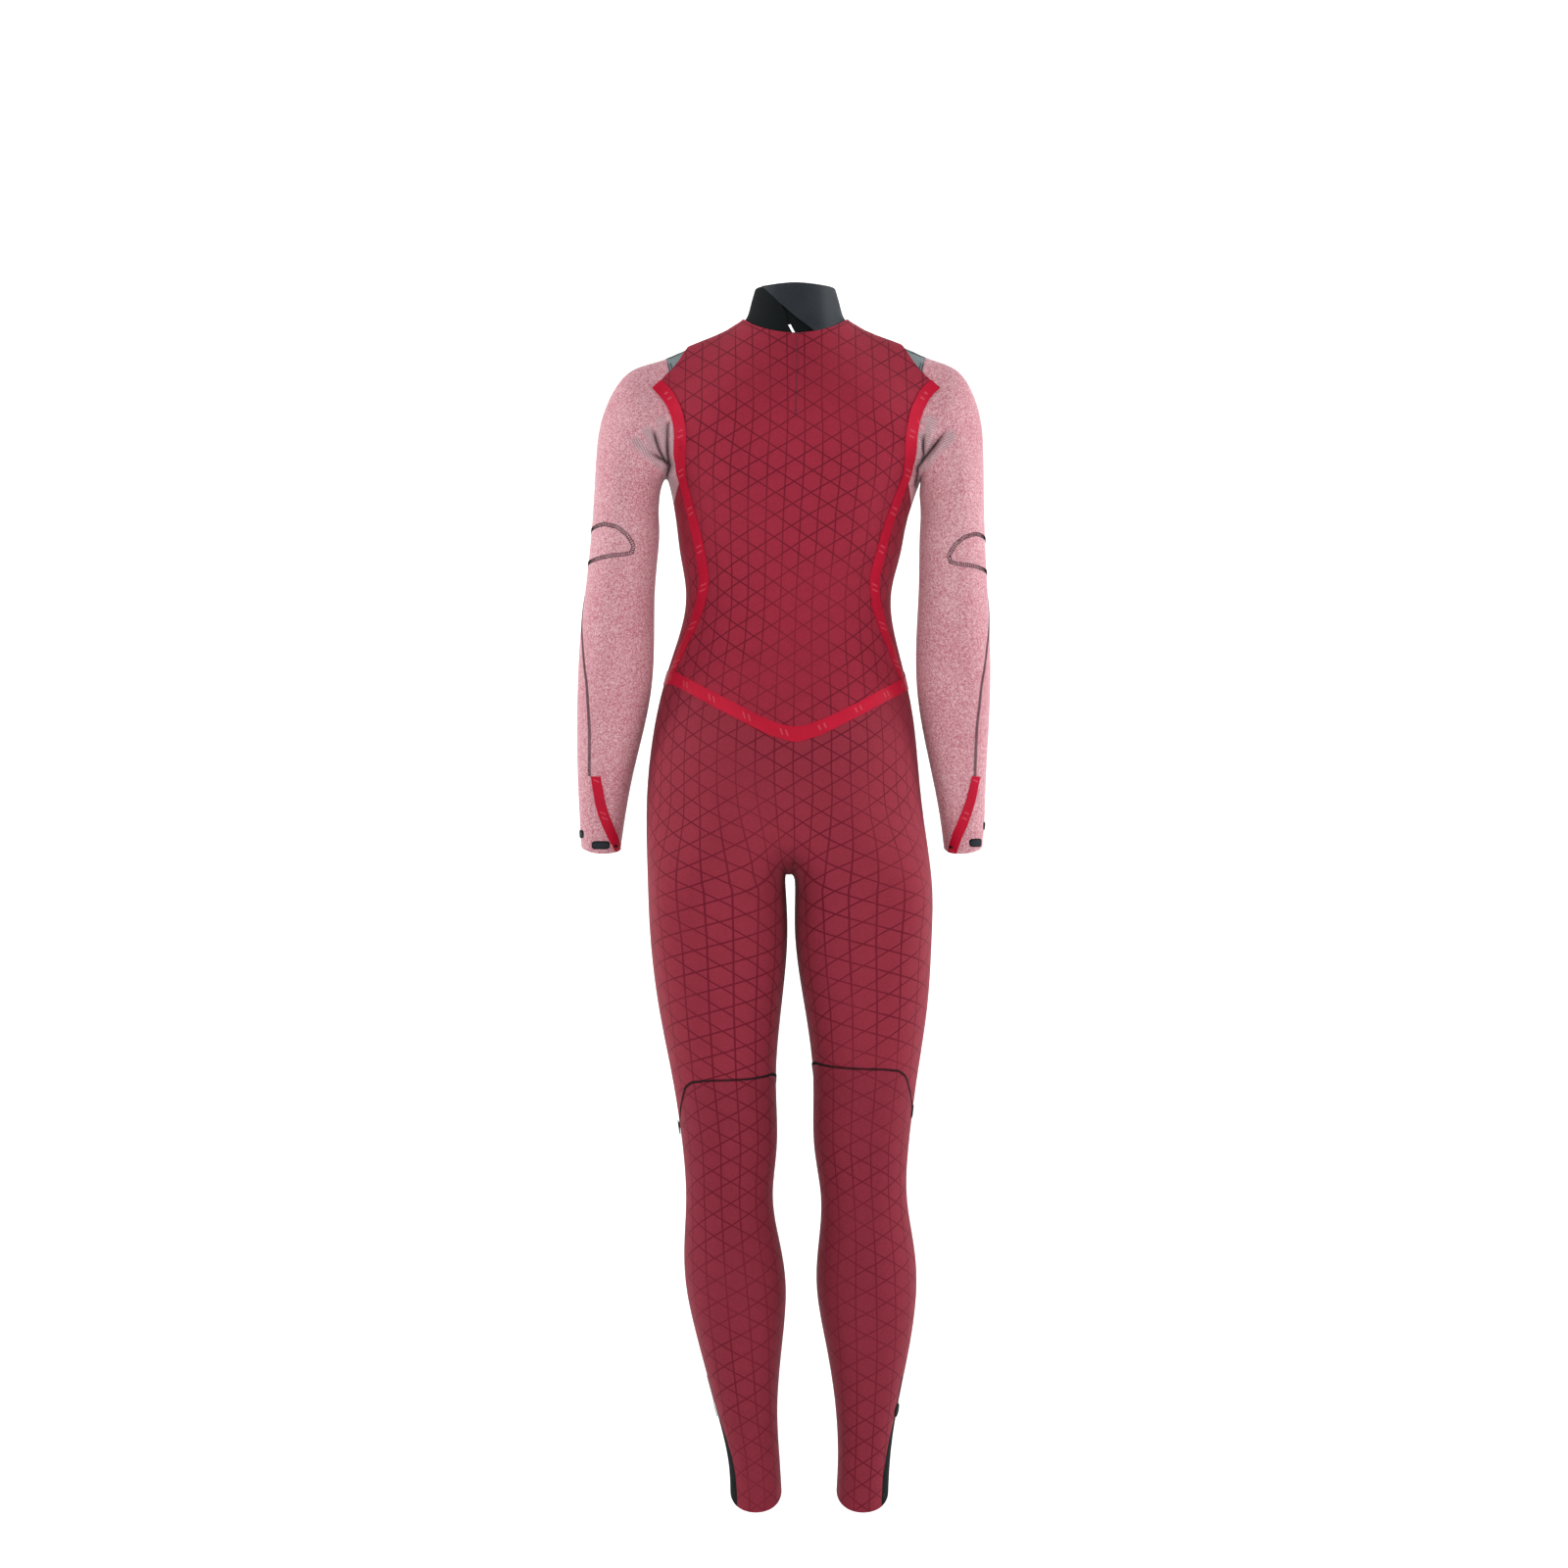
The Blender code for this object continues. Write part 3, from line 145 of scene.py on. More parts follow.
# Rings of the sleeves below the armhole: on the left the inner x and outer x, on the right the inner x and
# outer x, height of the inner and of the outer side, middle in depth, half depth, drop of the back edge
SLEEVE_RINGS = (
    (-0.15, -0.19, 0.147, 0.1948, -0.187, -0.056, -0.006, 0.054, 0.0, 0.88),
    (-0.1528, -0.215, 0.1476, 0.215, -0.203, -0.0965, -0.007, 0.052, 0.0, 0.95),
    (-0.153, -0.2245, 0.1478, 0.2205, -0.222, -0.142, -0.009, 0.049, 0.0, 1.0),
    (-0.1526, -0.2292, 0.1463, 0.2215, -0.25, -0.215, -0.013, 0.0455, 0.0, 1.0),
    (-0.1571, -0.2362, 0.1458, 0.2249, -0.302, -0.298, -0.016, 0.0425, 0.0, 1.0),
    (-0.1582, -0.2427, 0.1436, 0.2275, -0.355, -0.355, -0.014, 0.0405, 0.002, 1.0),
    (-0.1605, -0.2463, 0.1436, 0.2283, -0.41, -0.41, -0.008, 0.038, 0.004, 1.0),
    (-0.1695, -0.2475, 0.1503, 0.2271, -0.462, -0.462, 0.001, 0.0345, 0.006, 1.0),
    (-0.1831, -0.2475, 0.1616, 0.2249, -0.515, -0.515, 0.013, 0.0305, 0.007, 1.0),
    (-0.1925, -0.2463, 0.171, 0.2237, -0.562, -0.562, 0.024, 0.027, 0.008, 1.0),
    (-0.1985, -0.2452, 0.1765, 0.2217, -0.602, -0.599, 0.034, 0.0255, 0.008, 1.0))

# Rings of the legs: height, middle of the left and of the right leg, half width, depth behind and in front,
# drop of the back edge, roundness
LEG_RINGS = (
    (-0.64, -0.0866, 0.0828, 0.0792, 0.112, 0.078, 0.0, 2.6),
    (-0.705, -0.0838, 0.0826, 0.079, 0.103, 0.078, 0.0, 2.4),
    (-0.785, -0.0822, 0.085, 0.0709, 0.09, 0.076, 0.0, 2.2),
    (-0.865, -0.0783, 0.0845, 0.0599, 0.076, 0.072, 0.0, 2.1),
    (-0.94, -0.0717, 0.08, 0.055, 0.064, 0.068, 0.0, 2.1),
    (-1.003, -0.072, 0.0831, 0.0498, 0.056, 0.063, 0.0, 2.1),
    (-1.06, -0.0687, 0.0859, 0.0555, 0.062, 0.054, 0.0, 2.1),
    (-1.115, -0.0638, 0.0864, 0.0571, 0.068, 0.047, 0.0, 2.1),
    (-1.18, -0.0585, 0.0876, 0.0471, 0.06, 0.042, 0.002, 2.1),
    (-1.245, -0.0523, 0.0862, 0.0357, 0.047, 0.036, 0.005, 2.1),
    (-1.3, -0.0444, 0.0836, 0.0301, 0.04, 0.033, 0.011, 2.1),
    (-1.343, -0.0412, 0.0813, 0.0297, 0.039, 0.034, 0.018, 2.1))

# The crotch, from the back to the front: depth, height
CROTCH_POINTS = ((-0.078, -0.612), (-0.018, -0.634), (0.042, -0.61))
CROTCH_X = -0.004
LEG_MIDDLE_X = 0.088         # from the middle of the body's cloth to the middle of a leg's

# Edge of the inner panel on each side of the lean line: height, offset. Above the corner it is a free edge,
# and below the corner it is the princess seam.
PANEL_EDGE = (
    (-0.018, 0.1185), (-0.0226, 0.1205), (-0.0316, 0.1265), (-0.0429, 0.1325),
    (-0.0576, 0.1435), (-0.0655, 0.1525), (-0.072, 0.159), (-0.0825, 0.1475),
    (-0.0915, 0.142), (-0.1028, 0.1365), (-0.1164, 0.133), (-0.1322, 0.131),
    (-0.1526, 0.131), (-0.1774, 0.1285), (-0.2, 0.1205), (-0.2226, 0.1136),
    (-0.2452, 0.107), (-0.2678, 0.1017), (-0.2904, 0.097), (-0.3017, 0.097),
    (-0.3243, 0.1005), (-0.3469, 0.108), (-0.3695, 0.118), (-0.3921, 0.127),
    (-0.4057, 0.133), (-0.43, 0.148))
CORNER_Z = -0.072
YOKE_FOOT_Z = -0.0593
YOKE_EDGE = ((-0.03, 0.15), (-0.038, 0.149), (-0.0593, 0.144))
FRONT_ARMHOLE = ((-0.03, 0.15), (-0.1, 0.14), (-0.15, 0.133), (-0.21, 0.129))
UNDERARM = ((0.12, -0.185), (0.131, -0.185), (0.15, -0.261))  # offset from the lean line, height
TAPE_END_SLOPE = (0.735, -0.678)
TAB_INNER_X = 0.133
TAB_DEPTH = 0.014            # how far the tabs reach in front of the ridge
TAB_BACK_DEPTH = 0.007       # and behind it

# The V seam at the hips, as a rounded point behind that runs level in front
HIP_TIP = (0.0035, -0.4713)
HIP_SLOPE = 0.56
HIP_TIP_RADIUS = 0.025
HIP_FRONT_REACH = 0.14

# The knee seam round a leg: angle from the back towards the outer side in degrees, height on the left leg
KNEE_SEAM = ((-180.0, -0.923), (-120.0, -0.89), (-90.0, -0.864), (-60.0, -0.86), (-20.0, -0.863),
             (15.0, -0.8645), (30.0, -0.867), (40.0, -0.8735), (47.0, -0.884), (60.0, -0.9),
             (75.0, -0.916), (90.0, -0.923), (180.0, -0.923))
KNEE_RISE_RIGHT = 0.013

# Outer edge of the black ankle panel: height, angle from the back towards the outer side in degrees
ANKLE_EDGE = ((-1.23, 75.0), (-1.24, 72.0), (-1.257, 60.0), (-1.275, 50.0), (-1.295, 43.0),
              (-1.32, 38.0), (-1.37, 38.0))
ANKLE_INNER_ANGLE = (-94.0, -104.0)      # left leg, right leg
ANKLE_TOP_Z = -1.245
ANKLE_TOP_RISE = 0.03

# The elbow panel on the outside of a sleeve: angle from the back towards the outer side in degrees, height
ELBOW_OUTLINE = (
    (-17.0, -0.2565), (-7.0, -0.244), (8.0, -0.235), (30.0, -0.231), (50.0, -0.233),
    (75.0, -0.236), (105.0, -0.239), (128.0, -0.248), (136.0, -0.258), (128.0, -0.27),
    (105.0, -0.276), (75.0, -0.2745), (50.0, -0.2715), (22.0, -0.268), (-5.0, -0.266),
    (-14.0, -0.264))
ELBOW_TURN = (0.0, 9.0)                  # left sleeve, right sleeve, in degrees
ELBOW_DROP = (0.0, 0.011)
ELBOW_AXIS = ((-0.193, -0.0145), (0.1845, -0.0145))
ELBOW_RADIUS = 0.04

# Wrist tapes: height, x on the left and on the right sleeve
WRIST_TAPE = ((-0.48, -0.227, 0.2145), (-0.5187, -0.2255, 0.2122), (-0.547, -0.2209, 0.206),
              (-0.56, -0.218, 0.2017), (-0.574, -0.213, 0.1966), (-0.587, -0.2075, 0.191),
              (-0.602, -0.2011, 0.1865), (-0.63, -0.19, 0.176))

# Collar edges as seen from behind: x, height
OVER_FLAP_EDGE = ((-0.046, 0.055), (-0.028, 0.0361), (-0.0122, 0.0193), (0.0061, 0.0026),
                  (0.0234, -0.0108), (0.04, -0.024))
UNDER_FLAP_EDGE = ((-0.027, 0.048), (-0.0205, 0.033), (-0.0125, 0.0193), (-0.0065, 0.0093),
                   (-0.0046, -0.0041), (0.0016, -0.0152), (0.006, -0.024))
INNER_FLAP_LEFT = -0.019
INNER_FLAP_RIGHT = 0.03
NOTCH_TOP_Z = -0.0038
NOTCH_WIDTH = 0.003

# Creases, each a line of places: x, height, half width, depth (negative stands up as a ridge)
ARMPIT_CREASES = (
    ((-0.1678, -0.1459, 0.003, 0.0), (-0.1566, -0.1526, 0.003, 0.0025),
     (-0.1465, -0.1582, 0.0032, 0.0055), (-0.1398, -0.1643, 0.0036, 0.0095)),
    ((-0.1594, -0.1207, 0.0028, 0.0), (-0.156, -0.1319, 0.0028, 0.0035),
     (-0.1521, -0.1453, 0.0028, 0.0035), (-0.1471, -0.1554, 0.003, 0.005),
     (-0.1409, -0.1632, 0.0034, 0.009)),
    ((-0.1376, -0.1135, 0.0026, 0.0), (-0.1413, -0.1196, 0.0026, 0.003),
     (-0.142, -0.1342, 0.0026, 0.0032), (-0.1418, -0.1509, 0.0028, 0.0045),
     (-0.1398, -0.1643, 0.0034, 0.0095)),
    ((-0.1398, -0.1643, 0.0034, 0.0095), (-0.1426, -0.1733, 0.0036, 0.007),
     (-0.1448, -0.1811, 0.004, 0.005)),
    ((-0.1633, -0.1263, 0.0042, 0.0), (-0.1555, -0.1431, 0.004, -0.0026),
     (-0.1482, -0.1532, 0.003, -0.0024), (-0.1443, -0.1588, 0.003, 0.0)),
    ((-0.1767, -0.1387, 0.004, 0.0), (-0.1633, -0.151, 0.004, -0.0018),
     (-0.1499, -0.1622, 0.0036, -0.0018), (-0.1432, -0.1689, 0.003, 0.0)),
    ((-0.1476, -0.1163, 0.0045, 0.0), (-0.1482, -0.1319, 0.0045, -0.003),
     (-0.1454, -0.1487, 0.0032, -0.0026), (-0.1426, -0.1588, 0.003, 0.0)),
    ((-0.1353, -0.1207, 0.004, 0.0), (-0.1359, -0.1364, 0.004, -0.0024),
     (-0.1353, -0.1521, 0.0036, -0.0026), (-0.1342, -0.1632, 0.004, 0.0)),
    ((-0.1342, -0.1632, 0.004, 0.0), (-0.137, -0.1744, 0.0045, -0.0035),
     (-0.1365, -0.1889, 0.0045, -0.003), (-0.1331, -0.2012, 0.004, 0.0)),
    ((0.1777, -0.1224, 0.0028, 0.0), (0.1699, -0.1325, 0.0028, 0.003),
     (0.1609, -0.1442, 0.0034, 0.005), (0.1531, -0.1537, 0.003, 0.005),
     (0.1439, -0.166, 0.0036, 0.0095)),
    ((0.152, -0.1252, 0.0026, 0.0), (0.1498, -0.1353, 0.0026, 0.0035),
     (0.1495, -0.1453, 0.0026, 0.0042), (0.1503, -0.1532, 0.0026, 0.003),
     (0.1481, -0.1599, 0.003, 0.004)),
    ((0.1439, -0.166, 0.0036, 0.0095), (0.1434, -0.1744, 0.0036, 0.007),
     (0.1414, -0.1856, 0.004, 0.005)),
    ((0.1464, -0.1319, 0.0035, 0.0), (0.146, -0.1442, 0.0036, -0.0026),
     (0.1457, -0.1554, 0.0032, -0.0024), (0.1453, -0.1621, 0.003, 0.0)),
    ((0.1576, -0.1152, 0.005, 0.0), (0.1565, -0.1297, 0.0048, -0.0034),
     (0.1542, -0.1442, 0.0034, -0.0026), (0.1509, -0.1543, 0.0028, 0.0)),
    ((0.1799, -0.1319, 0.0045, 0.0), (0.1699, -0.1431, 0.0042, -0.0026),
     (0.1587, -0.1554, 0.0038, -0.0026), (0.1486, -0.1666, 0.0036, 0.0)))
OTHER_CREASES = (
    ((-0.132, -0.1297, 0.0018, 0.0), (-0.1292, -0.1286, 0.0018, 0.0013),
     (-0.1253, -0.1263, 0.002, 0.0)),
    ((-0.1314, -0.1465, 0.0018, 0.0), (-0.1286, -0.1451, 0.0018, 0.0014),
     (-0.1242, -0.1431, 0.002, 0.0)),
    ((0.143, -0.1129, 0.002, 0.0), (0.1458, -0.1163, 0.002, 0.0013),
     (0.1481, -0.1219, 0.002, 0.0)),
    ((-0.0056, -0.6183, 0.0028, 0.0), (0.0022, -0.6177, 0.003, 0.0022),
     (0.0145, -0.6199, 0.003, 0.0)))
RIB_SPREAD = 1.9             # how far the ribs of the sleeves' cloth show beside a ridge, in half widths
RIB_SLANT = 0.45             # how far the ribs slant across a ridge
SHADE_SPREAD = 0.6           # how wide the shadow in a crease is, in half widths
FULL_SHADE_DEPTH = 0.0042    # a crease as deep as this is fully dark
FRONT_CREASE_SHARE = 0.8     # the hidden creases at the front are as many, but shallower

# Finer faces: least and greatest distance from the middle, lowest and highest, cuts
FINE_AREAS = ((0.122, 0.192, -0.206, -0.1, 3), (0.0, 0.026, -0.64, -0.6, 2))

# The cloth
UNEVEN_DEPTH = 0.0006        # soft unevenness of the filled cloth
UNEVEN_WAVES = ((19.0, 7.0, 31.0, 0.3), (-13.0, 23.0, 17.0, 1.9), (29.0, -17.0, 11.0, 4.1))
INSEAM_ANGLE = -100.0        # where the cloth of a leg meets, from the back towards the outer side in degrees
THIGH_SLANT = 0.22           # how far the cloth of the thighs is cut aslant

# Cut of each piece of cloth: width, length, share of that rectangle, piece it is sewn to or lies on
CUTS = {"back_inner_panel": (0.322, 0.478, 0.777, "front_panel"),
        "front_panel": (0.450, 0.460, 0.763, "back_inner_panel"),
        "seat_thighs": (0.960, 0.520, 0.846, "front_panel"),
        "lower_leg_left": (0.360, 0.500, 0.693, "seat_thighs"),
        "lower_leg_right": (0.360, 0.512, 0.709, "seat_thighs"),
        "ankle_panel_left": (0.125, 0.138, 0.725, "lower_leg_left"),
        "ankle_panel_right": (0.125, 0.138, 0.690, "lower_leg_right"),
        "sleeve_left": (0.360, 0.570, 0.611, "front_panel"),
        "sleeve_right": (0.360, 0.570, 0.595, "front_panel"),
        "elbow_panel_left": (0.105, 0.045, 0.755, "sleeve_left"),
        "elbow_panel_right": (0.105, 0.045, 0.745, "sleeve_right"),
        "yoke_left": (0.034, 0.048, 0.380, "front_panel"),
        "yoke_right": (0.034, 0.048, 0.430, "front_panel"),
        "shoulder_tab_left": (0.018, 0.023, 0.930, "front_panel"),
        "shoulder_tab_right": (0.018, 0.023, 0.930, "front_panel"),
        "collar_left_band": (0.125, 0.070, 0.725, "back_inner_panel"),
        "collar_over_flap": (0.150, 0.075, 0.706, "collar_left_band"),
        "collar_inner_flap": (0.050, 0.065, 0.797, "collar_over_flap"),
        "outer_back_left": (0.160, 0.475, 0.710, "back_inner_panel"),
        "outer_back_right": (0.160, 0.475, 0.730, "back_inner_panel"),
        "zip_tape_left": (0.012, 0.350, 0.975, "outer_back_left"),
        "zip_tape_right": (0.012, 0.350, 0.975, "outer_back_right"),
        "hip_tape": (0.015, 0.820, 0.984, "seat_thighs"),
        "princess_tape_left": (0.015, 0.372, 0.958, "back_inner_panel"),
        "princess_tape_right": (0.015, 0.372, 0.987, "back_inner_panel"),
        "wrist_tape_left": (0.012, 0.104, 0.980, "sleeve_left"),
        "wrist_tape_right": (0.012, 0.104, 0.955, "sleeve_right")}

# What each kind of panel is made of
PANEL_FINISH = {
    "back_inner_panel": "red_lining", "front_panel": "red_lining",
    # The lower legs wear a darker copy of the dark red lining, painted shade where the light falls off
    # towards the feet
    "seat_thighs": "dark_red_lining", "lower_leg": "lower_leg_lining",
    "sleeve": "heather_lining", "elbow_panel": "heather_lining",
    "ankle_panel": "black_neoprene", "shoulder_tab": "black_neoprene",
    "collar_left_band": "black_neoprene", "collar_inner_flap": "black_neoprene",
    "collar_over_flap": "smooth_skin", "yoke": "grey_jersey",
    "outer_back": "black_neoprene", "zip_tape": "zip_plastic", "zip_chain": "zip_plastic",
    "hip_tape": "red_tape", "princess_tape": "red_tape", "wrist_tape": "red_tape"}

SLOTS = {"lower_leg_lining": "dark_red_lining"}  # finishes that go by another name in the record

# Forearm seam, from the wrist tape up to the elbow panel: height, angle from the back towards the outer side
FOREARM_SEAM = ((-0.5187, 32.0), (-0.47, 38.0), (-0.42, 48.0), (-0.37, 64.0), (-0.33, 84.0),
                (-0.3, 104.0), (-0.278, 122.0))

# Dart of the back and bar tacks, drawn on the back: x, height; then the width and the layer beneath
DART = ((0.0055, -0.0203), (0.0052, -0.075), (0.004, -0.1119))
DART_TACKS = (((0.0026, -0.0168), (0.0102, -0.0168)), ((0.0043, -0.104), (0.004, -0.112)))
BAR_TACKS = (
    (((-0.206, -0.5994), (-0.2024, -0.5994)), 0.0026, 0.0009),
    (((0.1826, -0.6005), (0.1862, -0.6005)), 0.003, 0.0009),
    (((-0.065, -1.34), (-0.064, -1.345)), 0.0026, 0.0),
    (((0.105, -1.341), (0.1042, -1.346)), 0.0026, 0.0))
DART_TACK_WIDTH = 0.0009
DART_TACK_PITCH = 0.001
BAR_TACK_PITCH = 0.0009

# Widths of the seams' stitching, and where it runs at the yokes and ankles
KNEE_STITCH = 0.0036
ELBOW_STITCH = 0.004
FOREARM_STITCH = 0.0044
YOKE_STITCH = 0.003
ANKLE_STITCH = 0.0026
YOKE_STITCHED_HEIGHTS = (-0.045, -0.06)
YOKE_STITCHED_OFFSETS = (0.124, 0.146)
YOKE_TOP_Z = -0.035
YOKE_STITCH_INSET = 0.0024
TAB_STITCH_INSET = 0.0015
ANKLE_STITCHING = {"left": ((80.0, -1.24), (79.0, -1.224), (78.0, -1.208)),
                   "right": ((66.0, -1.24), (65.0, -1.224), (64.0, -1.208))}

# Rubber grips round the cuffs: angle from the back towards the outer side, height of the middle
GRIPS = {"left": ((-2.0, -0.5982), (72.0, -0.5856), (146.0, -0.583), (220.0, -0.588)),
         "right": ((34.0, -0.5955), (88.0, -0.5763), (150.0, -0.578), (215.0, -0.588))}
GRIP_WIDTH = 0.019
GRIP_HEIGHT = 0.0093
GRIP_RIM = 0.0013
GRIP_WALL = 0.0005
GRIP_GIRTH_RADIUS = 0.025

# The studio
CAMERA_POINT = (-0.009, -4.6, -0.5277)
CAMERA_REACH = 1.808         # width of the view at the garment
SENSOR = 36.0

# Lamps: name, place, what they face, size, power
LAMPS = (("key_light", (-1.2, -2.3, -0.1), (0.0, 0.0, -0.3), 1.7, "key_power"),
         ("fill_light", (1.5, -2.1, -0.4), (0.0, 0.0, -0.4), 1.7, "fill_power"),
         ("rim_light", (2.8, 1.4, -0.2), (0.0, 0.0, -0.8), 1.2, "rim_power"),
         ("backdrop_light_left", (-2.6, 0.6, 0.8), (0.0, 4.0, -0.8), 1.6, "backdrop_power"),
         ("backdrop_light_right", (2.6, 0.6, 0.8), (0.0, 4.0, -0.8), 1.6, "backdrop_power"))

# Floor and backdrop, joined by a bend
FLOOR_Z = -2.3
BACKDROP_Y = 2.4
COVE_REACH = 9.0
COVE_BEND = 1.6
COVE_HEIGHT = 7.0


# Tables and curves

def read_table(rows, at, column=1):
    """Value of a table's column at the given first-column values."""
    rows = sorted(rows)
    return np.interp(at, [row[0] for row in rows], [row[column] for row in rows])


def lean(z):
    return read_table(LEAN, z)


def smooth_step(value, start, end):
    """0 at start, 1 at end, with soft ends."""
    share = np.clip((value - start) / (end - start), 0.0, 1.0)
    return share * share * (3.0 - 2.0 * share)


def signed_power(value, exponent):
    return math.copysign(abs(value) ** exponent, value)


def distance_to_path(points, path):
    """Shortest distance from each point to a polyline."""
    best = np.full(len(points), np.inf)
    for start, end in zip(path[:-1], path[1:]):
        run = end - start
        along = np.clip((points - start) @ run / max(run @ run, 1e-12), 0.0, 1.0)
        gap = np.linalg.norm(points - start - along[:, None] * run, axis=1)
        best = np.minimum(best, gap)
    return best


def path_distance(path):
    """The distance to a polyline, as a function of points."""
    path = np.array(path)
    return lambda points: distance_to_path(points, path)


def within(distance, half_width):
    """Negative within half a width of a line, from a function for the distance to it."""
    return lambda points: np.abs(distance(points)) - half_width


def past(axis, level):
    """Distance past a level across one axis."""
    return lambda points: points[:, axis] - level


def inside_outline(points, outline):
    """Which 2D points lie inside a closed outline."""
    inside = np.zeros(len(points), dtype=bool)
    x = points[:, 0]
    y = points[:, 1]
    for (x0, y0), (x1, y1) in zip(outline, outline[1:] + outline[:1]):
        crosses = (y0 > y) != (y1 > y)
        reach = x0 + (y - y0) * (x1 - x0) / ((y1 - y0) if y1 != y0 else 1e-12)
        inside ^= crosses & (x < reach)
    return inside


def outwards(side, angle):
    """Level direction at an angle from the back towards the outer side, in degrees."""
    turn = math.radians(angle)
    return Vector((side * math.sin(turn), -math.cos(turn), 0.0))


def new_mesh(name, points, faces):
    mesh = bpy.data.meshes.new(name)
    mesh.from_pydata(points, [], faces)
    return mesh


# The cage

class Cage:
    """Points and tagged faces of the coarse form."""

    def __init__(self):
        self.points = []
        self.faces = []
        self.tags = []
        self.creases = {}

    def add(self, x, y, z):
        self.points.append((x, y, z))
        return len(self.points) - 1

    def strip(self, upper, lower, tags, clockwise=False, closed=True):
        """Quads between two rows of points, top row first, one tag for each quad."""
        count = len(upper) if closed else len(upper) - 1
        for k in range(count):
            after = (k + 1) % len(upper)
            quad = (upper[k], lower[k], lower[after], upper[after])
            self.faces.append(tuple(reversed(quad)) if clockwise else quad)
            self.tags.append(tags[k])


def body_ring(cage, row):
    z, half_width, behind, front, bust, hollow = row
    ring = []
    for k in range(BODY_COLUMNS):
        turn = math.radians(360.0 * k / BODY_COLUMNS)
        across = signed_power(math.cos(turn), 2.0 / BODY_ROUNDNESS)
        back = signed_power(math.sin(turn), 2.0 / BODY_ROUNDNESS)
        y = -back * (behind if back > 0.0 else front)
        if k in (11, 13):
            y += bust
        if k == 12:
            y -= 0.3 * bust
        if k == 4:
            y += hollow
        ring.append(cage.add(float(lean(z)) - half_width * across, y, z))
    return ring


def upper_row(cage, row, facing):
    """Seven points across the upper back (facing -1) or chest (facing 1), from left to right."""
    z_edge, z_middle, half_width, back_edge, back_middle, front_edge, front_middle = row
    edge, middle = (back_edge, back_middle) if facing < 0 else (front_edge, front_middle)
    points = []
    for k in range(7):
        across = (k - 3) / 3.0
        bend = abs(across) ** 2.2
        z = z_middle + (z_edge - z_middle) * bend
        y = facing * (middle + (edge - middle) * bend)
        points.append(cage.add(float(lean(z)) + half_width * across, y, z))
    return points


def collar_ring(cage, row):
    """Eight points, from the left side round the back to the right and the front."""
    half_width, behind, front, side_z, back_z, front_z = row
    ring = []
    for k in range(8):
        turn = math.radians(45.0 * k)
        back = math.sin(turn)
        y = -back * (behind if back > 0.0 else front)
        end_z = back_z if back > 0.0 else front_z
        z = side_z + (end_z - side_z) * abs(back) ** 1.6
        ring.append(cage.add(float(lean(z)) - half_width * math.cos(turn), y - 0.002, z))
    return ring


def sleeve_ring(cage, row, side):
    inner_x, outer_x = row[0:2] if side < 0 else row[2:4]
    inner_z, outer_z, middle_y, half_depth, drop, fullness = row[4:]
    centre = Vector(((inner_x + outer_x) / 2.0, middle_y, (inner_z + outer_z) / 2.0))
    inward = Vector(((inner_x - outer_x) / 2.0, 0.0, (inner_z - outer_z) / 2.0))
    ring = []
    for j in range(SLEEVE_COLUMNS):
        turn = math.radians(45.0 * j)
        reach = fullness if j in (3, 5) else 1.0
        away = inward * math.cos(turn) + Vector((0.0, -half_depth, -drop)) * math.sin(turn)
        point = centre + away * reach
        ring.append(cage.add(*point))
    return ring


def leg_ring(cage, row, side):
    z, left_x, right_x, half_width, behind, front, drop, roundness = row
    middle = left_x if side < 0 else right_x
    ring = []
    for j in range(LEG_COLUMNS):
        turn = math.radians(30.0 * j)
        outward = signed_power(math.cos(turn), 2.0 / roundness)
        back = signed_power(math.sin(turn), 2.0 / roundness)
        y = -back * (behind if back > 0.0 else front)
        ring.append(cage.add(middle + side * half_width * outward, y, z - drop * back))
    return ring


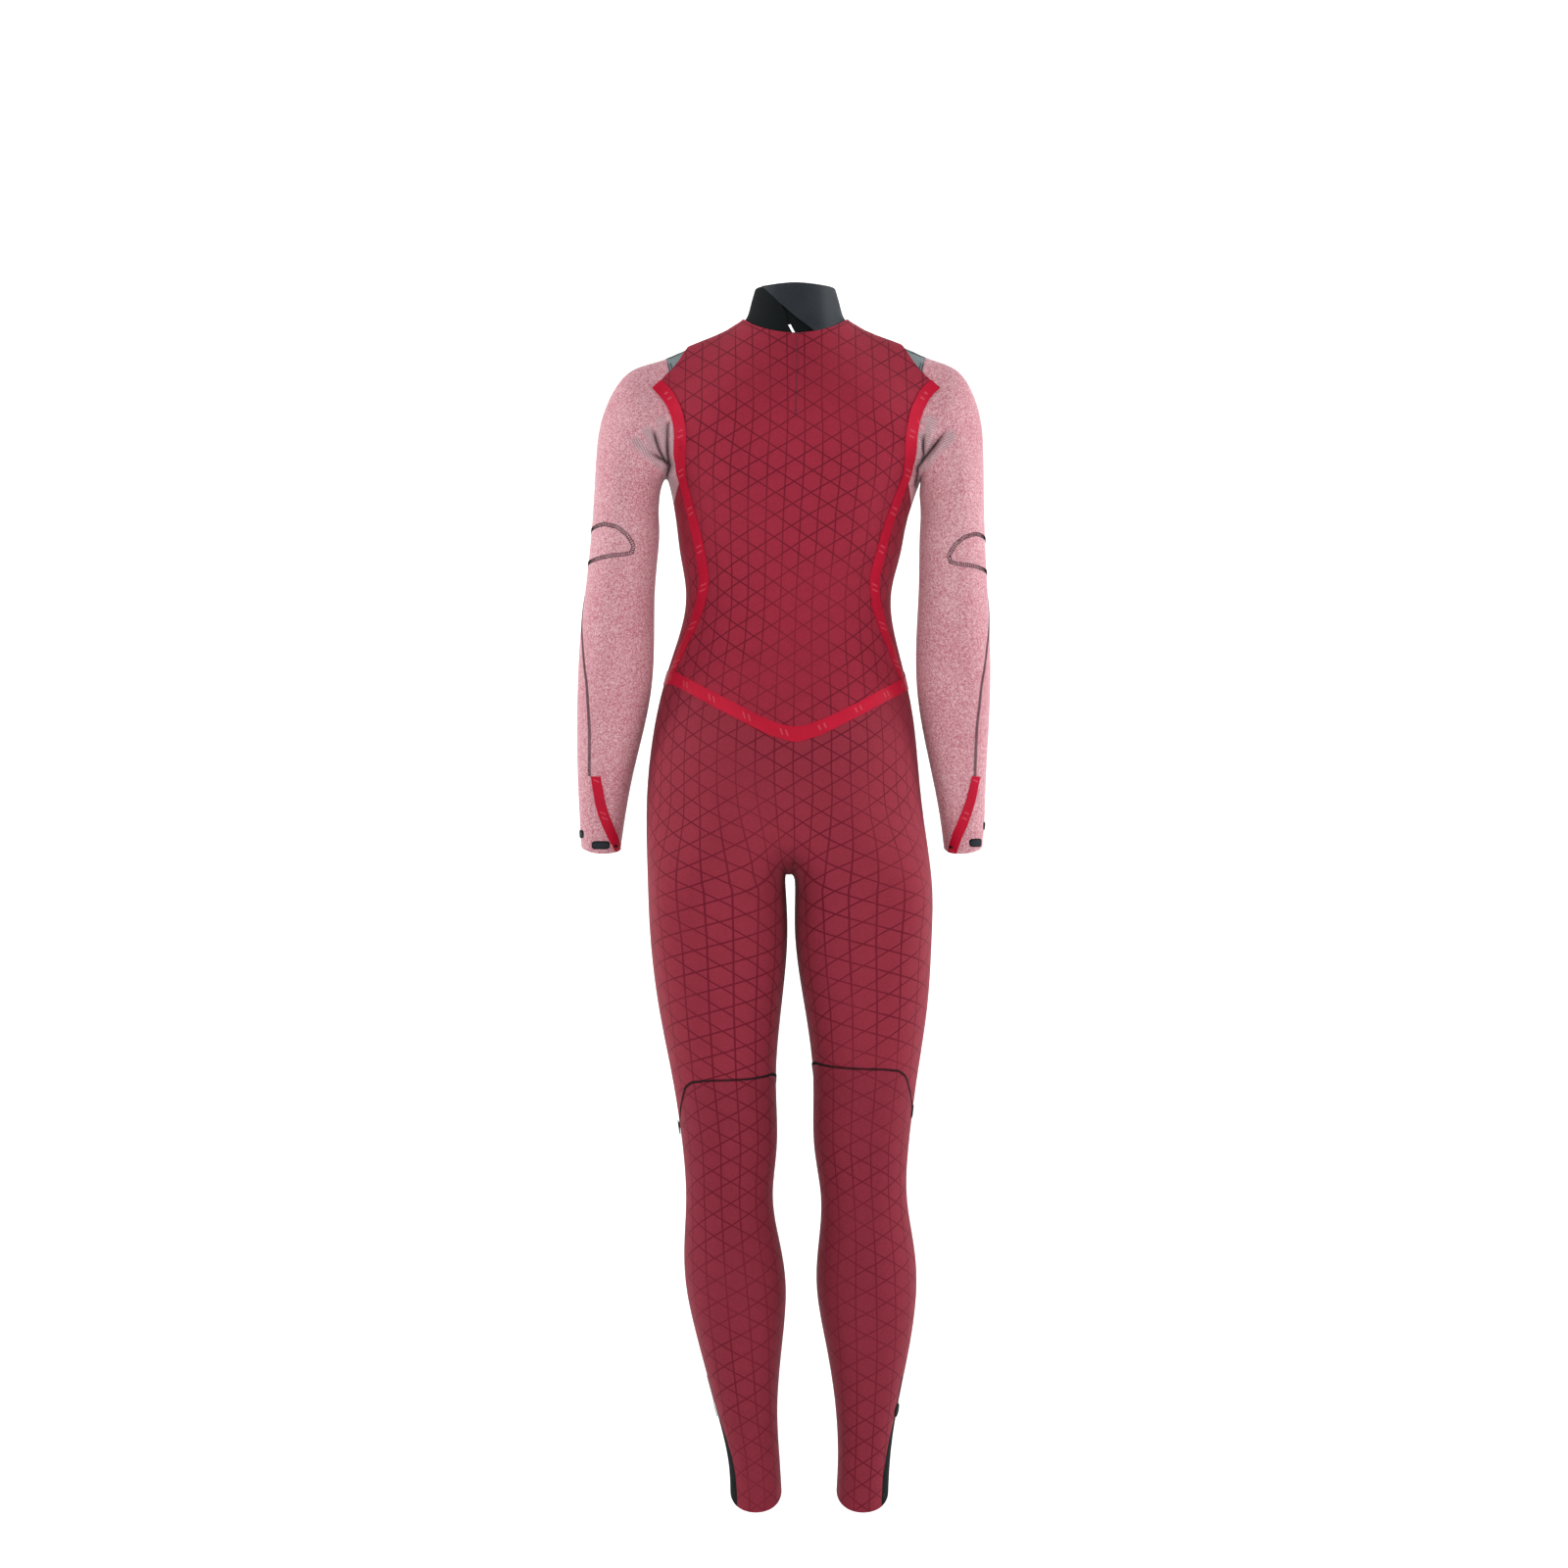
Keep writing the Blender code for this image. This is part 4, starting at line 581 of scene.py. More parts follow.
def build_cage():
    cage = Cage()
    half = BODY_COLUMNS // 2
    body_tags = [TORSO_BACK] * half + [TORSO_FRONT] * half

    rings = [body_ring(cage, row) for row in BODY_RINGS]
    for upper, lower in zip(rings, rings[1:]):
        cage.strip(upper, lower, body_tags)

    # Upper back and chest, up to the shoulder ridge and the neck
    armpit = rings[0]
    collar = [collar_ring(cage, row) for row in COLLAR_RINGS]
    neck = collar[0]
    cage.creases = {frozenset((neck[k], neck[(k + 1) % len(neck)])): 1.0 for k in range(len(neck))}
    ridge = []
    for side, rise in ((-1, 0.0), (1, SHOULDER_RISE_RIGHT)):
        x, y, z = SHOULDER_POINT
        ridge.append(cage.add(float(lean(z)) + side * x, y, z + rise))
    cage.creases[frozenset((ridge[0], neck[0]))] = RIDGE_CREASE
    cage.creases[frozenset((ridge[1], neck[4]))] = RIDGE_CREASE
    back_rows = [upper_row(cage, row, -1) for row in UPPER_ROWS]
    front_rows = [upper_row(cage, row, 1) for row in UPPER_ROWS]
    back = [armpit[1:8]] + back_rows + [[ridge[0], neck[0], neck[1], neck[2], neck[3], neck[4], ridge[1]]]
    front_top = [ridge[0], neck[0], neck[7], neck[6], neck[5], neck[4], ridge[1]]
    front = [list(reversed(armpit[9:16]))] + front_rows + [front_top]
    for lower, upper in zip(back, back[1:]):
        cage.strip(upper, lower, [TORSO_BACK] * 6, closed=False)
    for lower, upper in zip(front, front[1:]):
        cage.strip(upper, lower, [TORSO_FRONT] * 6, clockwise=True, closed=False)
    for lower, upper in zip(collar, collar[1:]):
        cage.strip(upper, lower, [COLLAR] * 8)

    # Sleeves, from the armholes down
    for side, end, tag in ((-1, 0, SLEEVE_LEFT), (1, 6, SLEEVE_RIGHT)):
        armhole = [armpit[0 if side < 0 else half], back[0][end], back[1][end], back[2][end],
                   ridge[0 if side < 0 else 1], front[2][end], front[1][end], front[0][end]]
        sleeve = [armhole] + [sleeve_ring(cage, row, side) for row in SLEEVE_RINGS]
        for upper, lower in zip(sleeve, sleeve[1:]):
            cage.strip(upper, lower, [tag] * SLEEVE_COLUMNS, clockwise=side < 0)

    # Legs, from the hips and the crotch down
    hips = rings[-1]
    crotch = [cage.add(float(lean(z)), y, z) for y, z in CROTCH_POINTS]
    for side, tag in ((-1, LEG_LEFT), (1, LEG_RIGHT)):
        outer_back = hips[0:5] if side < 0 else hips[8:3:-1]
        inner_front = hips[12:16] if side < 0 else hips[12:8:-1]
        leg = [list(outer_back) + crotch + list(inner_front)]
        leg += [leg_ring(cage, row, side) for row in LEG_RINGS]
        for upper, lower in zip(leg, leg[1:]):
            cage.strip(upper, lower, [tag] * LEG_COLUMNS, clockwise=side > 0)
    return cage


def smooth_mesh(cage, points, levels):
    """The cage after its Subdivision Surface, as a new mesh."""
    mesh = new_mesh("cage", [tuple(point) for point in points], cage.faces)
    mesh.polygons.foreach_set("material_index", cage.tags)
    crease = mesh.attributes.new("crease_edge", "FLOAT", "EDGE")
    for edge in mesh.edges:
        crease.data[edge.index].value = cage.creases.get(frozenset(edge.vertices), 0.0)
    guide = bpy.data.objects.new("cage", mesh)
    bpy.context.scene.collection.objects.link(guide)
    smooth = guide.modifiers.new("smooth", "SUBSURF")
    smooth.levels = levels
    smooth.render_levels = levels
    bpy.context.view_layer.update()
    evaluated = guide.evaluated_get(bpy.context.evaluated_depsgraph_get())
    result = bpy.data.meshes.new_from_object(evaluated)
    bpy.data.objects.remove(guide)
    bpy.data.meshes.remove(mesh)
    return result


def mesh_points(mesh):
    flat = np.empty(len(mesh.vertices) * 3)
    mesh.vertices.foreach_get("co", flat)
    return flat.reshape(-1, 3)


def smooth_form(levels):
    """The smooth form, which passes through the cage's own points."""
    cage = build_cage()
    target = np.array(cage.points)
    points = target.copy()
    for _ in range(FIT_ROUNDS):
        mesh = smooth_mesh(cage, points, 1)
        points += target - mesh_points(mesh)[:len(points)]
        bpy.data.meshes.remove(mesh)
    mesh = smooth_mesh(cage, points, levels)
    skin = bmesh.new()
    skin.from_mesh(mesh)
    bpy.data.meshes.remove(mesh)
    skin.normal_update()
    return skin


# Seams

def split_at_zeros(face, value):
    """Split a face between points of the seam, until none has points on both sides of it."""
    pending = [face]
    done = []
    while pending:
        piece = pending.pop()
        corners = list(piece.verts)
        count = len(corners)
        values = [value[corner] for corner in corners]
        zeros = [k for k in range(count) if values[k] == 0.0]
        pair = None
        for a in range(len(zeros)):
            for b in range(a + 1, len(zeros)):
                one = values[zeros[a] + 1:zeros[b]]
                two = values[zeros[b] + 1:] + values[:zeros[a]]
                if one and two and sum(one) * sum(two) < 0.0:
                    pair = (corners[zeros[a]], corners[zeros[b]])
                    break
            if pair:
                break
        if pair:
            extra, _ = bmesh.utils.face_split(piece, *pair)
            pending += [piece, extra]
        else:
            done.append(piece)
    return done


def cut(skin, name, field, mask):
    """Cut the masked faces where the field is zero, and keep each face's side (1 or -1) in a layer."""
    side = skin.faces.layers.int.get(name) or skin.faces.layers.int.new(name)
    faces = [face for face in skin.faces if mask(face)]
    corners = list({corner for face in faces for corner in face.verts})
    if not corners:
        return
    found = field(np.array([corner.co for corner in corners]))
    value = {}
    for corner, amount in zip(corners, found):
        reach = min(edge.calc_length() for edge in corner.link_edges)
        value[corner] = 0.0 if abs(amount) < SNAP_SHARE * reach else float(amount)
    for edge in {edge for face in faces for edge in face.edges}:
        first, second = edge.verts
        if value[first] * value[second] < 0.0:
            share = value[first] / (value[first] - value[second])
            _, corner = bmesh.utils.edge_split(edge, first, share)
            value[corner] = 0.0
    for face in faces:
        for piece in split_at_zeros(face, value):
            total = sum(value[corner] for corner in piece.verts)
            piece[side] = 1 if total > 0.0 else -1


def lean_offset(points):
    """Distance to the right of the lean line."""
    return points[:, 0] - lean(points[:, 2])


def offset_from_lean(points):
    return np.abs(lean_offset(points))


def drape(tree, x, z, facing):
    """Point of the form at x and z, seen from behind (facing -1) or from the front (facing 1)."""
    hit, _, _, _ = tree.ray_cast(Vector((x, facing, z)), Vector((0.0, -facing, 0.0)))
    return np.array(hit)


def panel_edge_field(points):
    return offset_from_lean(points) - read_table(PANEL_EDGE, points[:, 2])


def sleeve_edge_field(points):
    z = points[:, 2]
    edge = np.where(z > YOKE_FOOT_Z, read_table(YOKE_EDGE, z), read_table(PANEL_EDGE, z))
    return offset_from_lean(points) - edge


def front_armhole_field(points):
    return offset_from_lean(points) - read_table(FRONT_ARMHOLE, points[:, 2])


def underarm_field(points):
    """Height above the seam between the sleeve and the front under the arm."""
    return (points[:, 2] - read_table(UNDERARM, offset_from_lean(points))) * 0.3


def hip_field(points):
    """Distance above the hip seam."""
    x = points[:, 0] - HIP_TIP[0]
    reach = np.sqrt(x * x + HIP_TIP_RADIUS ** 2) - HIP_TIP_RADIUS
    level = math.sqrt(HIP_FRONT_REACH ** 2 + HIP_TIP_RADIUS ** 2) - HIP_TIP_RADIUS
    reach = np.where(points[:, 1] < 0.0, np.minimum(reach, level), level)
    steep = np.where(points[:, 1] < 0.0, math.sqrt(1.0 + 0.8 * HIP_SLOPE ** 2), 1.0)
    return (points[:, 2] - HIP_TIP[1] - HIP_SLOPE * reach) / steep


def leg_angle(points, side):
    """Angle round a leg in degrees, from the back towards the outer side."""
    middle = read_table(LEG_RINGS, points[:, 2], 1 if side < 0 else 2)
    return np.degrees(np.arctan2(side * (points[:, 0] - middle), -points[:, 1]))


def knee_field(side):
    rise = 0.0 if side < 0 else KNEE_RISE_RIGHT

    def field(points):
        return points[:, 2] - rise - read_table(KNEE_SEAM, leg_angle(points, side))
    return field


def ankle_field(side):
    """Positive on the ankle panel."""
    inner = ANKLE_INNER_ANGLE[0 if side < 0 else 1]

    def field(points):
        z = points[:, 2]
        angle = leg_angle(points, side)
        edge = read_table(ANKLE_EDGE, z)
        radius = 0.033
        past_outer = np.radians(np.where(angle > -20.0, angle - edge, 180.0 - edge)) * radius
        past_inner = np.radians(np.where(angle < -20.0, inner - angle, 180.0 + inner)) * radius
        round_front = np.where(angle < edge - 90.0, angle + 360.0, angle)
        top = ANKLE_TOP_Z + ANKLE_TOP_RISE * smooth_step(round_front, 90.0, 260.0)
        return np.minimum(np.minimum(past_outer, past_inner), top - z)
    return field


def elbow_field(side):
    """Positive inside the elbow panel's outline."""
    slot = 0 if side < 0 else 1
    middle_x, middle_y = ELBOW_AXIS[slot]
    outline = [(math.radians(angle + ELBOW_TURN[slot]) * ELBOW_RADIUS, z - ELBOW_DROP[slot])
               for angle, z in ELBOW_OUTLINE]
    path = np.array(outline + outline[:1])

    def field(points):
        angle = np.arctan2(side * (points[:, 0] - middle_x), -(points[:, 1] - middle_y))
        angle = np.where(angle < -2.2, angle + 2.0 * math.pi, angle)
        flat = np.column_stack((angle * ELBOW_RADIUS, points[:, 2]))
        sign = np.where(inside_outline(flat, outline), 1.0, -1.0)
        return sign * distance_to_path(flat, path)
    return field


def wrist_offset(column):
    """Distance to the right of a wrist tape's middle."""
    return lambda points: points[:, 0] - read_table(WRIST_TAPE, points[:, 2], column)


def collar_line_field(edge):
    """Positive to the right of an edge that is drawn on the back of the collar."""
    def field(points):
        return (points[:, 0] - read_table([(z, x) for x, z in edge], points[:, 2])) * 0.75
    return field


def tape_end_field(side):
    """Distance past the slanted upper end of a princess tape."""
    def field(points):
        across = side * lean_offset(points) - read_table(PANEL_EDGE, CORNER_Z)
        above = points[:, 2] - CORNER_Z
        return across * -TAPE_END_SLOPE[1] + above * TAPE_END_SLOPE[0]
    return field


def faces_of(*tags, where=None):
    """A test for faces of these parts, whose middle lies where it is asked for."""
    def chosen(face):
        return face.material_index in tags and (where is None or where(face.calc_center_median()))
    return chosen


def is_back(face):
    return face.calc_center_median().y < MIDDLE_Y


def at_armhole(face, reach, facing):
    """Whether a face of a sleeve lies near the armhole, behind (facing -1) or in front (facing 1)."""
    middle = face.calc_center_median()
    return (face.material_index in (SLEEVE_LEFT, SLEEVE_RIGHT) and abs(middle.x) < reach and
            middle.z > ARMHOLE_FOOT_Z and (middle.y - MIDDLE_Y) * facing > 0.0)


def back_and_sleeves(face):
    return face.material_index == TORSO_BACK or at_armhole(face, BACK_SEAM_REACH, -1)


def front_and_sleeves(face):
    chest = face.material_index == TORSO_FRONT and face.calc_center_median().z > CHEST_FOOT_Z
    return chest or at_armhole(face, FRONT_SEAM_REACH, 1)


def cut_body(skin):
    """Cut the hip seam with its tape, the armholes, and the edges of the yokes and the inner panel."""
    torso = faces_of(TORSO_BACK, TORSO_FRONT)
    cut(skin, "hip", hip_field, torso)
    cut(skin, "hip_tape", within(hip_field, TAPE_HALF_WIDTH), torso)
    hip = skin.faces.layers.int["hip"]
    cut(skin, "sleeve_edge", sleeve_edge_field, lambda face: back_and_sleeves(face) and face[hip] >= 0)
    cut(skin, "panel_edge", panel_edge_field, faces_of(TORSO_BACK, where=lambda middle:
        middle.z > YOKE_FOOT_Z - YOKE_MARGIN and abs(middle.x) > YOKE_INNER_X))
    cut(skin, "front_armhole", front_armhole_field, front_and_sleeves)

    def beside_armhole(face):
        edge = "sleeve_edge" if face.material_index == TORSO_BACK else "front_armhole"
        return torso(face) and face[skin.faces.layers.int[edge]] > 0
    cut(skin, "underarm", underarm_field, beside_armhole)


def cut_tabs(skin):
    """Cut the shoulder tabs, which lie across the ridge."""
    def at_shoulder(middle):
        return middle.z > SHOULDER_FOOT_Z and abs(middle.x) > SHOULDER_INNER_X
    front = faces_of(TORSO_FRONT, where=at_shoulder)
    back = faces_of(TORSO_BACK, where=at_shoulder)
    panel_edge = skin.faces.layers.int["panel_edge"]
    sleeve_edge = skin.faces.layers.int["sleeve_edge"]

    def yoke(face):
        return back(face) and face[panel_edge] > 0 and face[sleeve_edge] < 0
    ridge_y = SHOULDER_POINT[1]
    cut(skin, "tab_inner", lambda points: offset_from_lean(points) - TAB_INNER_X,
        lambda face: front(face) or yoke(face))
    cut(skin, "tab_front", past(1, ridge_y + TAB_DEPTH), front)
    cut(skin, "tab_back", past(1, ridge_y - TAB_BACK_DEPTH), yoke)


def cut_princess_tapes(skin, tree):
    """Cut the edges and the upper ends of the princess tapes."""
    hip = skin.faces.layers.int["hip"]
    for side, name in ((-1, "princess_left"), (1, "princess_right")):
        path = [drape(tree, float(lean(z)) + side * float(read_table(PANEL_EDGE, z)), z, -1)
                for z in np.linspace(CORNER_Z, PRINCESS_FOOT_Z, 40)]
        run = path[0] - path[1]
        path.insert(0, path[0] + run / np.linalg.norm(run) * PRINCESS_OVERRUN)

        def near_seam(face, side=side):
            aside = face.calc_center_median().x * side
            return back_and_sleeves(face) and aside > PRINCESS_INNER_X and face[hip] >= 0
        cut(skin, name, within(path_distance(path), TAPE_HALF_WIDTH), near_seam)
        band = skin.faces.layers.int[name]
        cut(skin, name + "_end", tape_end_field(side), lambda face:
            near_seam(face) and face[band] < 0 and face.calc_center_median().z > PRINCESS_END_Z)


def cut_zip(skin):
    """Cut the middle of the outer back, and the edges of the zip between its two halves."""
    sleeve_edge = skin.faces.layers.int["sleeve_edge"]
    hip = skin.faces.layers.int["hip"]
    near_middle = faces_of(TORSO_BACK, where=lambda middle: abs(middle.x) < MID_BACK_REACH)

    def mid_back(face):
        return near_middle(face) and face[sleeve_edge] < 0 and face[hip] > 0
    cut(skin, "zip_end", past(2, ZIP_END_Z), mid_back)
    above = skin.faces.layers.int["zip_end"]
    cut(skin, "middle", lean_offset, mid_back)
    for name, half_width in (("chain", ZIP_CHAIN_HALF_WIDTH), ("zip_tape", ZIP_TAPE_HALF_WIDTH)):
        cut(skin, name, within(lean_offset, half_width), lambda face: mid_back(face) and face[above] > 0)


def cut_legs(skin):
    """Cut the knee seams and the edges of the ankle panels."""
    for side, leg in ((-1, LEG_LEFT), (1, LEG_RIGHT)):
        cut(skin, "knee", knee_field(side),
            faces_of(leg, where=lambda middle: KNEE_SPAN[0] < middle.z < KNEE_SPAN[1]))
        cut(skin, "ankle", ankle_field(side), faces_of(leg, where=lambda middle: middle.z < ANKLE_HEAD_Z))


def cut_sleeves(skin, tree):
    """Cut the elbow panels and the wrist tapes."""
    for side, sleeve in ((-1, SLEEVE_LEFT), (1, SLEEVE_RIGHT)):
        cut(skin, "elbow", elbow_field(side),
            faces_of(sleeve, where=lambda middle: ELBOW_SPAN[0] < middle.z < ELBOW_SPAN[1]))
        column = 1 if side < 0 else 2
        tape = [drape(tree, float(read_table(WRIST_TAPE, z, column)), z, -1)
                for z in np.linspace(*WRIST_TAPE_SPAN, 14)]
        tape.append(tape[-1] + (tape[-1] - tape[-2]) * WRIST_OVERRUN)
        wrist = faces_of(sleeve, where=lambda middle: middle.z < WRIST_HEAD_Z)

        def wrist_back(face, wrist=wrist):
            return wrist(face) and face.normal.y < 0.0
        cut(skin, "wrist_middle", wrist_offset(column), wrist_back)
        cut(skin, "wrist_tape", within(path_distance(tape), WRIST_TAPE_HALF_WIDTH), wrist)
        band = skin.faces.layers.int["wrist_tape"]
        cut(skin, "wrist_top", past(2, WRIST_TAPE_TOP_Z), lambda face: wrist_back(face) and face[band] < 0)


def cut_collar(skin):
    """Cut the edges of the collar's band and flaps."""
    collar = faces_of(COLLAR)

    def behind(face):
        return collar(face) and is_back(face)
    cut(skin, "collar_front", lean_offset, lambda face: collar(face) and not is_back(face))
    notch = [(x + NOTCH_WIDTH, z) for x, z in UNDER_FLAP_EDGE]
    for name, field in (("over_flap", collar_line_field(OVER_FLAP_EDGE)),
                        ("under_flap", collar_line_field(UNDER_FLAP_EDGE)),
                        ("notch", collar_line_field(notch)), ("notch_top", past(2, NOTCH_TOP_Z)),
                        ("flap_left", past(0, INNER_FLAP_LEFT)), ("flap_right", past(0, INNER_FLAP_RIGHT))):
        cut(skin, name, field, behind)


def cut_seams(skin):
    """Cut every seam and every edge of a tape into the form."""
    tree = BVHTree.FromBMesh(skin)
    cut_body(skin)
    cut_tabs(skin)
    cut_princess_tapes(skin, tree)
    cut_zip(skin)
    cut_legs(skin)
    cut_sleeves(skin, tree)
    cut_collar(skin)
    bmesh.ops.triangulate(skin, faces=skin.faces[:], quad_method="SHORT_EDGE", ngon_method="BEAUTY")
    skin.normal_update()
    skin.verts.index_update()


# Panels

def back_panels(side_of, middle, hand):
    """Panels of a face of the back above the hip seam."""
    if side_of("sleeve_edge") > 0:
        yield "sleeve_" + hand if side_of("underarm") > 0 else "front_panel"
    elif side_of("panel_edge") > 0:
        on_tab = side_of("tab_inner") > 0 and side_of("tab_back") > 0
        yield ("shoulder_tab_" if on_tab else "yoke_") + hand
    else:
        yield "back_inner_panel"
        if side_of("chain") < 0:
            yield "zip_chain"
        else:
            yield ("zip_tape_" if side_of("zip_tape") < 0 else "outer_back_") + hand


def front_panels(side_of, middle, hand):
    """Panels of a face of the front above the hip seam."""
    if side_of("front_armhole") > 0 and side_of("underarm") > 0:
        yield "sleeve_" + hand
    elif side_of("tab_inner") > 0 and side_of("tab_front") < 0:
        yield "shoulder_tab_" + hand
    else:
        yield "front_panel"


def sleeve_panels(side_of, middle, hand):
    if side_of("wrist_tape") < 0 and side_of("wrist_top") < 0:
        yield "wrist_tape_" + hand
    if side_of("elbow") > 0:
        yield "elbow_panel_" + hand
    elif side_of("sleeve_edge") < 0 and middle.y < 0.0:
        yield "back_inner_panel"
    else:
        yield "sleeve_" + hand


def leg_panels(side_of, middle, hand):
    if side_of("knee") > 0 or middle.z > KNEE_SPAN[1]:
        yield "seat_thighs"
    else:
        yield ("ankle_panel_" if side_of("ankle") > 0 else "lower_leg_") + hand


def collar_panels(side_of, middle, hand):
    back = middle.y < MIDDLE_Y
    if (back and side_of("under_flap") < 0) or (not back and side_of("collar_front") < 0):
        yield "collar_left_band"
    if (back and side_of("over_flap") > 0) or (not back and side_of("collar_front") > 0):
        yield "collar_over_flap"
    clear_of_notch = side_of("notch") > 0 or side_of("notch_top") > 0
    if back and side_of("flap_left") > 0 and side_of("flap_right") < 0 and clear_of_notch:
        yield "collar_inner_flap"


PARTS = {TORSO_BACK: back_panels, TORSO_FRONT: front_panels, SLEEVE_LEFT: sleeve_panels,
         SLEEVE_RIGHT: sleeve_panels, LEG_LEFT: leg_panels, LEG_RIGHT: leg_panels, COLLAR: collar_panels}


def panels_of(tag, middle, side_of):
    """Every panel and tape that a face belongs to."""
    hand = "left" if middle.x < lean(middle.z) else "right"
    if tag in (LEG_LEFT, LEG_RIGHT):
        hand = "left" if tag == LEG_LEFT else "right"
    if tag in (TORSO_BACK, TORSO_FRONT):
        if side_of("hip_tape") < 0:
            yield "hip_tape"
        if side_of("hip") < 0:
            yield "seat_thighs"
            return
    if tag in (TORSO_BACK, SLEEVE_LEFT, SLEEVE_RIGHT):
        band = side_of("princess_" + hand) < 0 and side_of("princess_" + hand + "_end") <= 0
        if band and side_of("hip_tape") >= 0 and side_of("hip") >= 0 and middle.y < 0.0:
            yield "princess_tape_" + hand
    yield from PARTS[tag](side_of, middle, hand)


def panel_faces(skin):
    """Faces of each panel by name."""
    side = {name: skin.faces.layers.int[name] for name in skin.faces.layers.int.keys()}
    panels = {}
    for face in skin.faces:
        for name in panels_of(face.material_index, face.calc_center_median(), lambda seam: face[side[seam]]):
            panels.setdefault(name, []).append(face)
    return panels


def shoulder_lift(point):
    """How far the inner panel stands off the form."""
    return SHOULDER_LIFT * float(smooth_step(point.z, LIFT_START_Z, LIFT_FULL_Z))


def flap_lift(point):
    """How far the collar's over-flap stands off the form."""
    at_back = float(smooth_step(-point.y, -0.010, 0.020))
    over_band = 1.0 - float(smooth_step(point.x, 0.032, 0.052))
    return FLAP_LIFT * at_back * over_band


# Places on the flat cloth

def unwound(angle, near):
    """The angle, brought within half a turn of one that is near it."""
    return near + (angle - near + math.pi) % (2.0 * math.pi) - math.pi


def body_plan(points, middles):
    """Place on the body's cloth: across from the middle of the back, and height."""
    def turn(places):
        y, z = places[:, 1], places[:, 2]
        depth = np.where(y < 0.0, read_table(BODY_RINGS, z, 2), read_table(BODY_RINGS, z, 3))
        return np.arctan2(lean_offset(places), -y * read_table(BODY_RINGS, z, 1) / depth)
    z = points[:, 2]
    girth = 0.077 + 0.5 * read_table(BODY_RINGS, z, 1)
    wound = unwound(turn(points), turn(middles)) * girth
    offset = lean_offset(points) * 1.12
    half_way = np.where(middles[:, 0] < lean(middles[:, 2]), -math.pi, math.pi) * girth
    planar = np.where(middles[:, 1] < 0.0, offset, half_way - offset)
    return wound + (planar - wound) * smooth_step(z, -0.180, -0.090), z


def leg_plan(side):
    """Place on a leg's cloth, wound from the inseam: across from the middle of the back, and height."""
    def plan(points, middles):
        near = np.radians((leg_angle(middles, side) - INSEAM_ANGLE) % 360.0 + INSEAM_ANGLE)
        turn = unwound(np.radians(leg_angle(points, side)), near)
        half_width = read_table(LEG_RINGS, points[:, 2], 3)
        return side * (LEG_MIDDLE_X + turn * (0.030 + 0.55 * half_width)), points[:, 2]
    return plan


def seat_plan(points, middles):
    """The body's cloth above the crotch, running into that of each leg, where it lies aslant."""
    across, along = body_plan(points, middles)
    drop = -points[:, 2]
    off_crotch = smooth_step(np.abs(points[:, 0] - CROTCH_X), 0.0, 0.050)
    share = np.maximum(smooth_step(drop, 0.520, 0.680) * off_crotch, smooth_step(drop, 0.612, 0.650))
    left, right = (leg_plan(side)(points, middles)[0] for side in (-1, 1))
    leg = np.where(middles[:, 0] < CROTCH_X, left, right)
    across = across + (leg - across) * share
    slant = THIGH_SLANT * share * smooth_step(drop, 0.560, 0.720)
    return across, along - slant * (np.abs(across) - LEG_MIDDLE_X)


def level_plan(points, middles):
    return points[:, 0], points[:, 2]


def princess_plan(side):
    """Place across and along the tape of a princess seam."""
    def plan(points, middles):
        return side * lean_offset(points) - read_table(PANEL_EDGE, points[:, 2]), points[:, 2]
    return plan


def hip_plan(points, middles):
    """Place across and along the tape of the hip seam."""
    return hip_field(points), body_plan(points, middles)[0]


def wrist_plan(column):
    """Place across and along the tape at a wrist."""
    return lambda points, middles: (wrist_offset(column)(points), points[:, 2])


PLANS = {"back_inner_panel": body_plan, "front_panel": body_plan, "seat_thighs": seat_plan,
         "lower_leg_left": leg_plan(-1), "lower_leg_right": leg_plan(1), "hip_tape": hip_plan,
         "princess_tape_left": princess_plan(-1), "princess_tape_right": princess_plan(1),
         "wrist_tape_left": wrist_plan(1), "wrist_tape_right": wrist_plan(2)}


def lay_cloth(mesh, bases, plan):
    """Keep each corner's place on the flat cloth, in metres, how near it is to a crease, and how dark the
    painted shadow in the creases is there.
    """
    corner_points = np.empty(len(mesh.loops), dtype=np.int32)
    mesh.loops.foreach_get("vertex_index", corner_points)
    points = bases[corner_points]
    middles = np.repeat(points.reshape(-1, 3, 3).mean(axis=1), 3, axis=0)
    across, along = plan(points, middles)
    fold, ribs = fold_ribs(points, middles)
    places = np.column_stack((across, along, fold))
    layer = mesh.attributes.new("cloth", "FLOAT_VECTOR", "CORNER")
    layer.data.foreach_set("vector", places.ravel())
    for name, values in (("crease", crease_shade(points)), ("rib", ribs)):
        layer = mesh.attributes.new(name, "FLOAT", "CORNER")
        layer.data.foreach_set("value", values)


# The form and its panels

def crease_reach(points, crease, spread=1.0):
    """How near a point is to a crease, from 0 to 1, the crease's depth there, and the way along it."""
    reach = np.zeros(len(points))
    depth = np.zeros(len(points))
    way = np.zeros(len(points))
    passed = 0.0
    for (x0, z0, width0, depth0), (x1, z1, width1, depth1) in zip(crease, crease[1:]):
        run = np.array((x1 - x0, z1 - z0))
        length = np.linalg.norm(run)
        away = points[:, [0, 2]] - np.array((x0, z0))
        share = np.clip(away @ run / length ** 2, 0.0, 1.0)
        gap = np.linalg.norm(away - share[:, None] * run, axis=1)
        near = np.exp(-(gap / (width0 + (width1 - width0) * share) / spread) ** 2)
        aside = away @ np.array((-run[1], run[0])) / length
        closer = near > reach
        depth = np.where(closer, depth0 + (depth1 - depth0) * share, depth)
        way = np.where(closer, passed + away @ run / length + RIB_SLANT * aside, way)
        reach = np.maximum(reach, near)
        passed += length
    return reach, depth, way


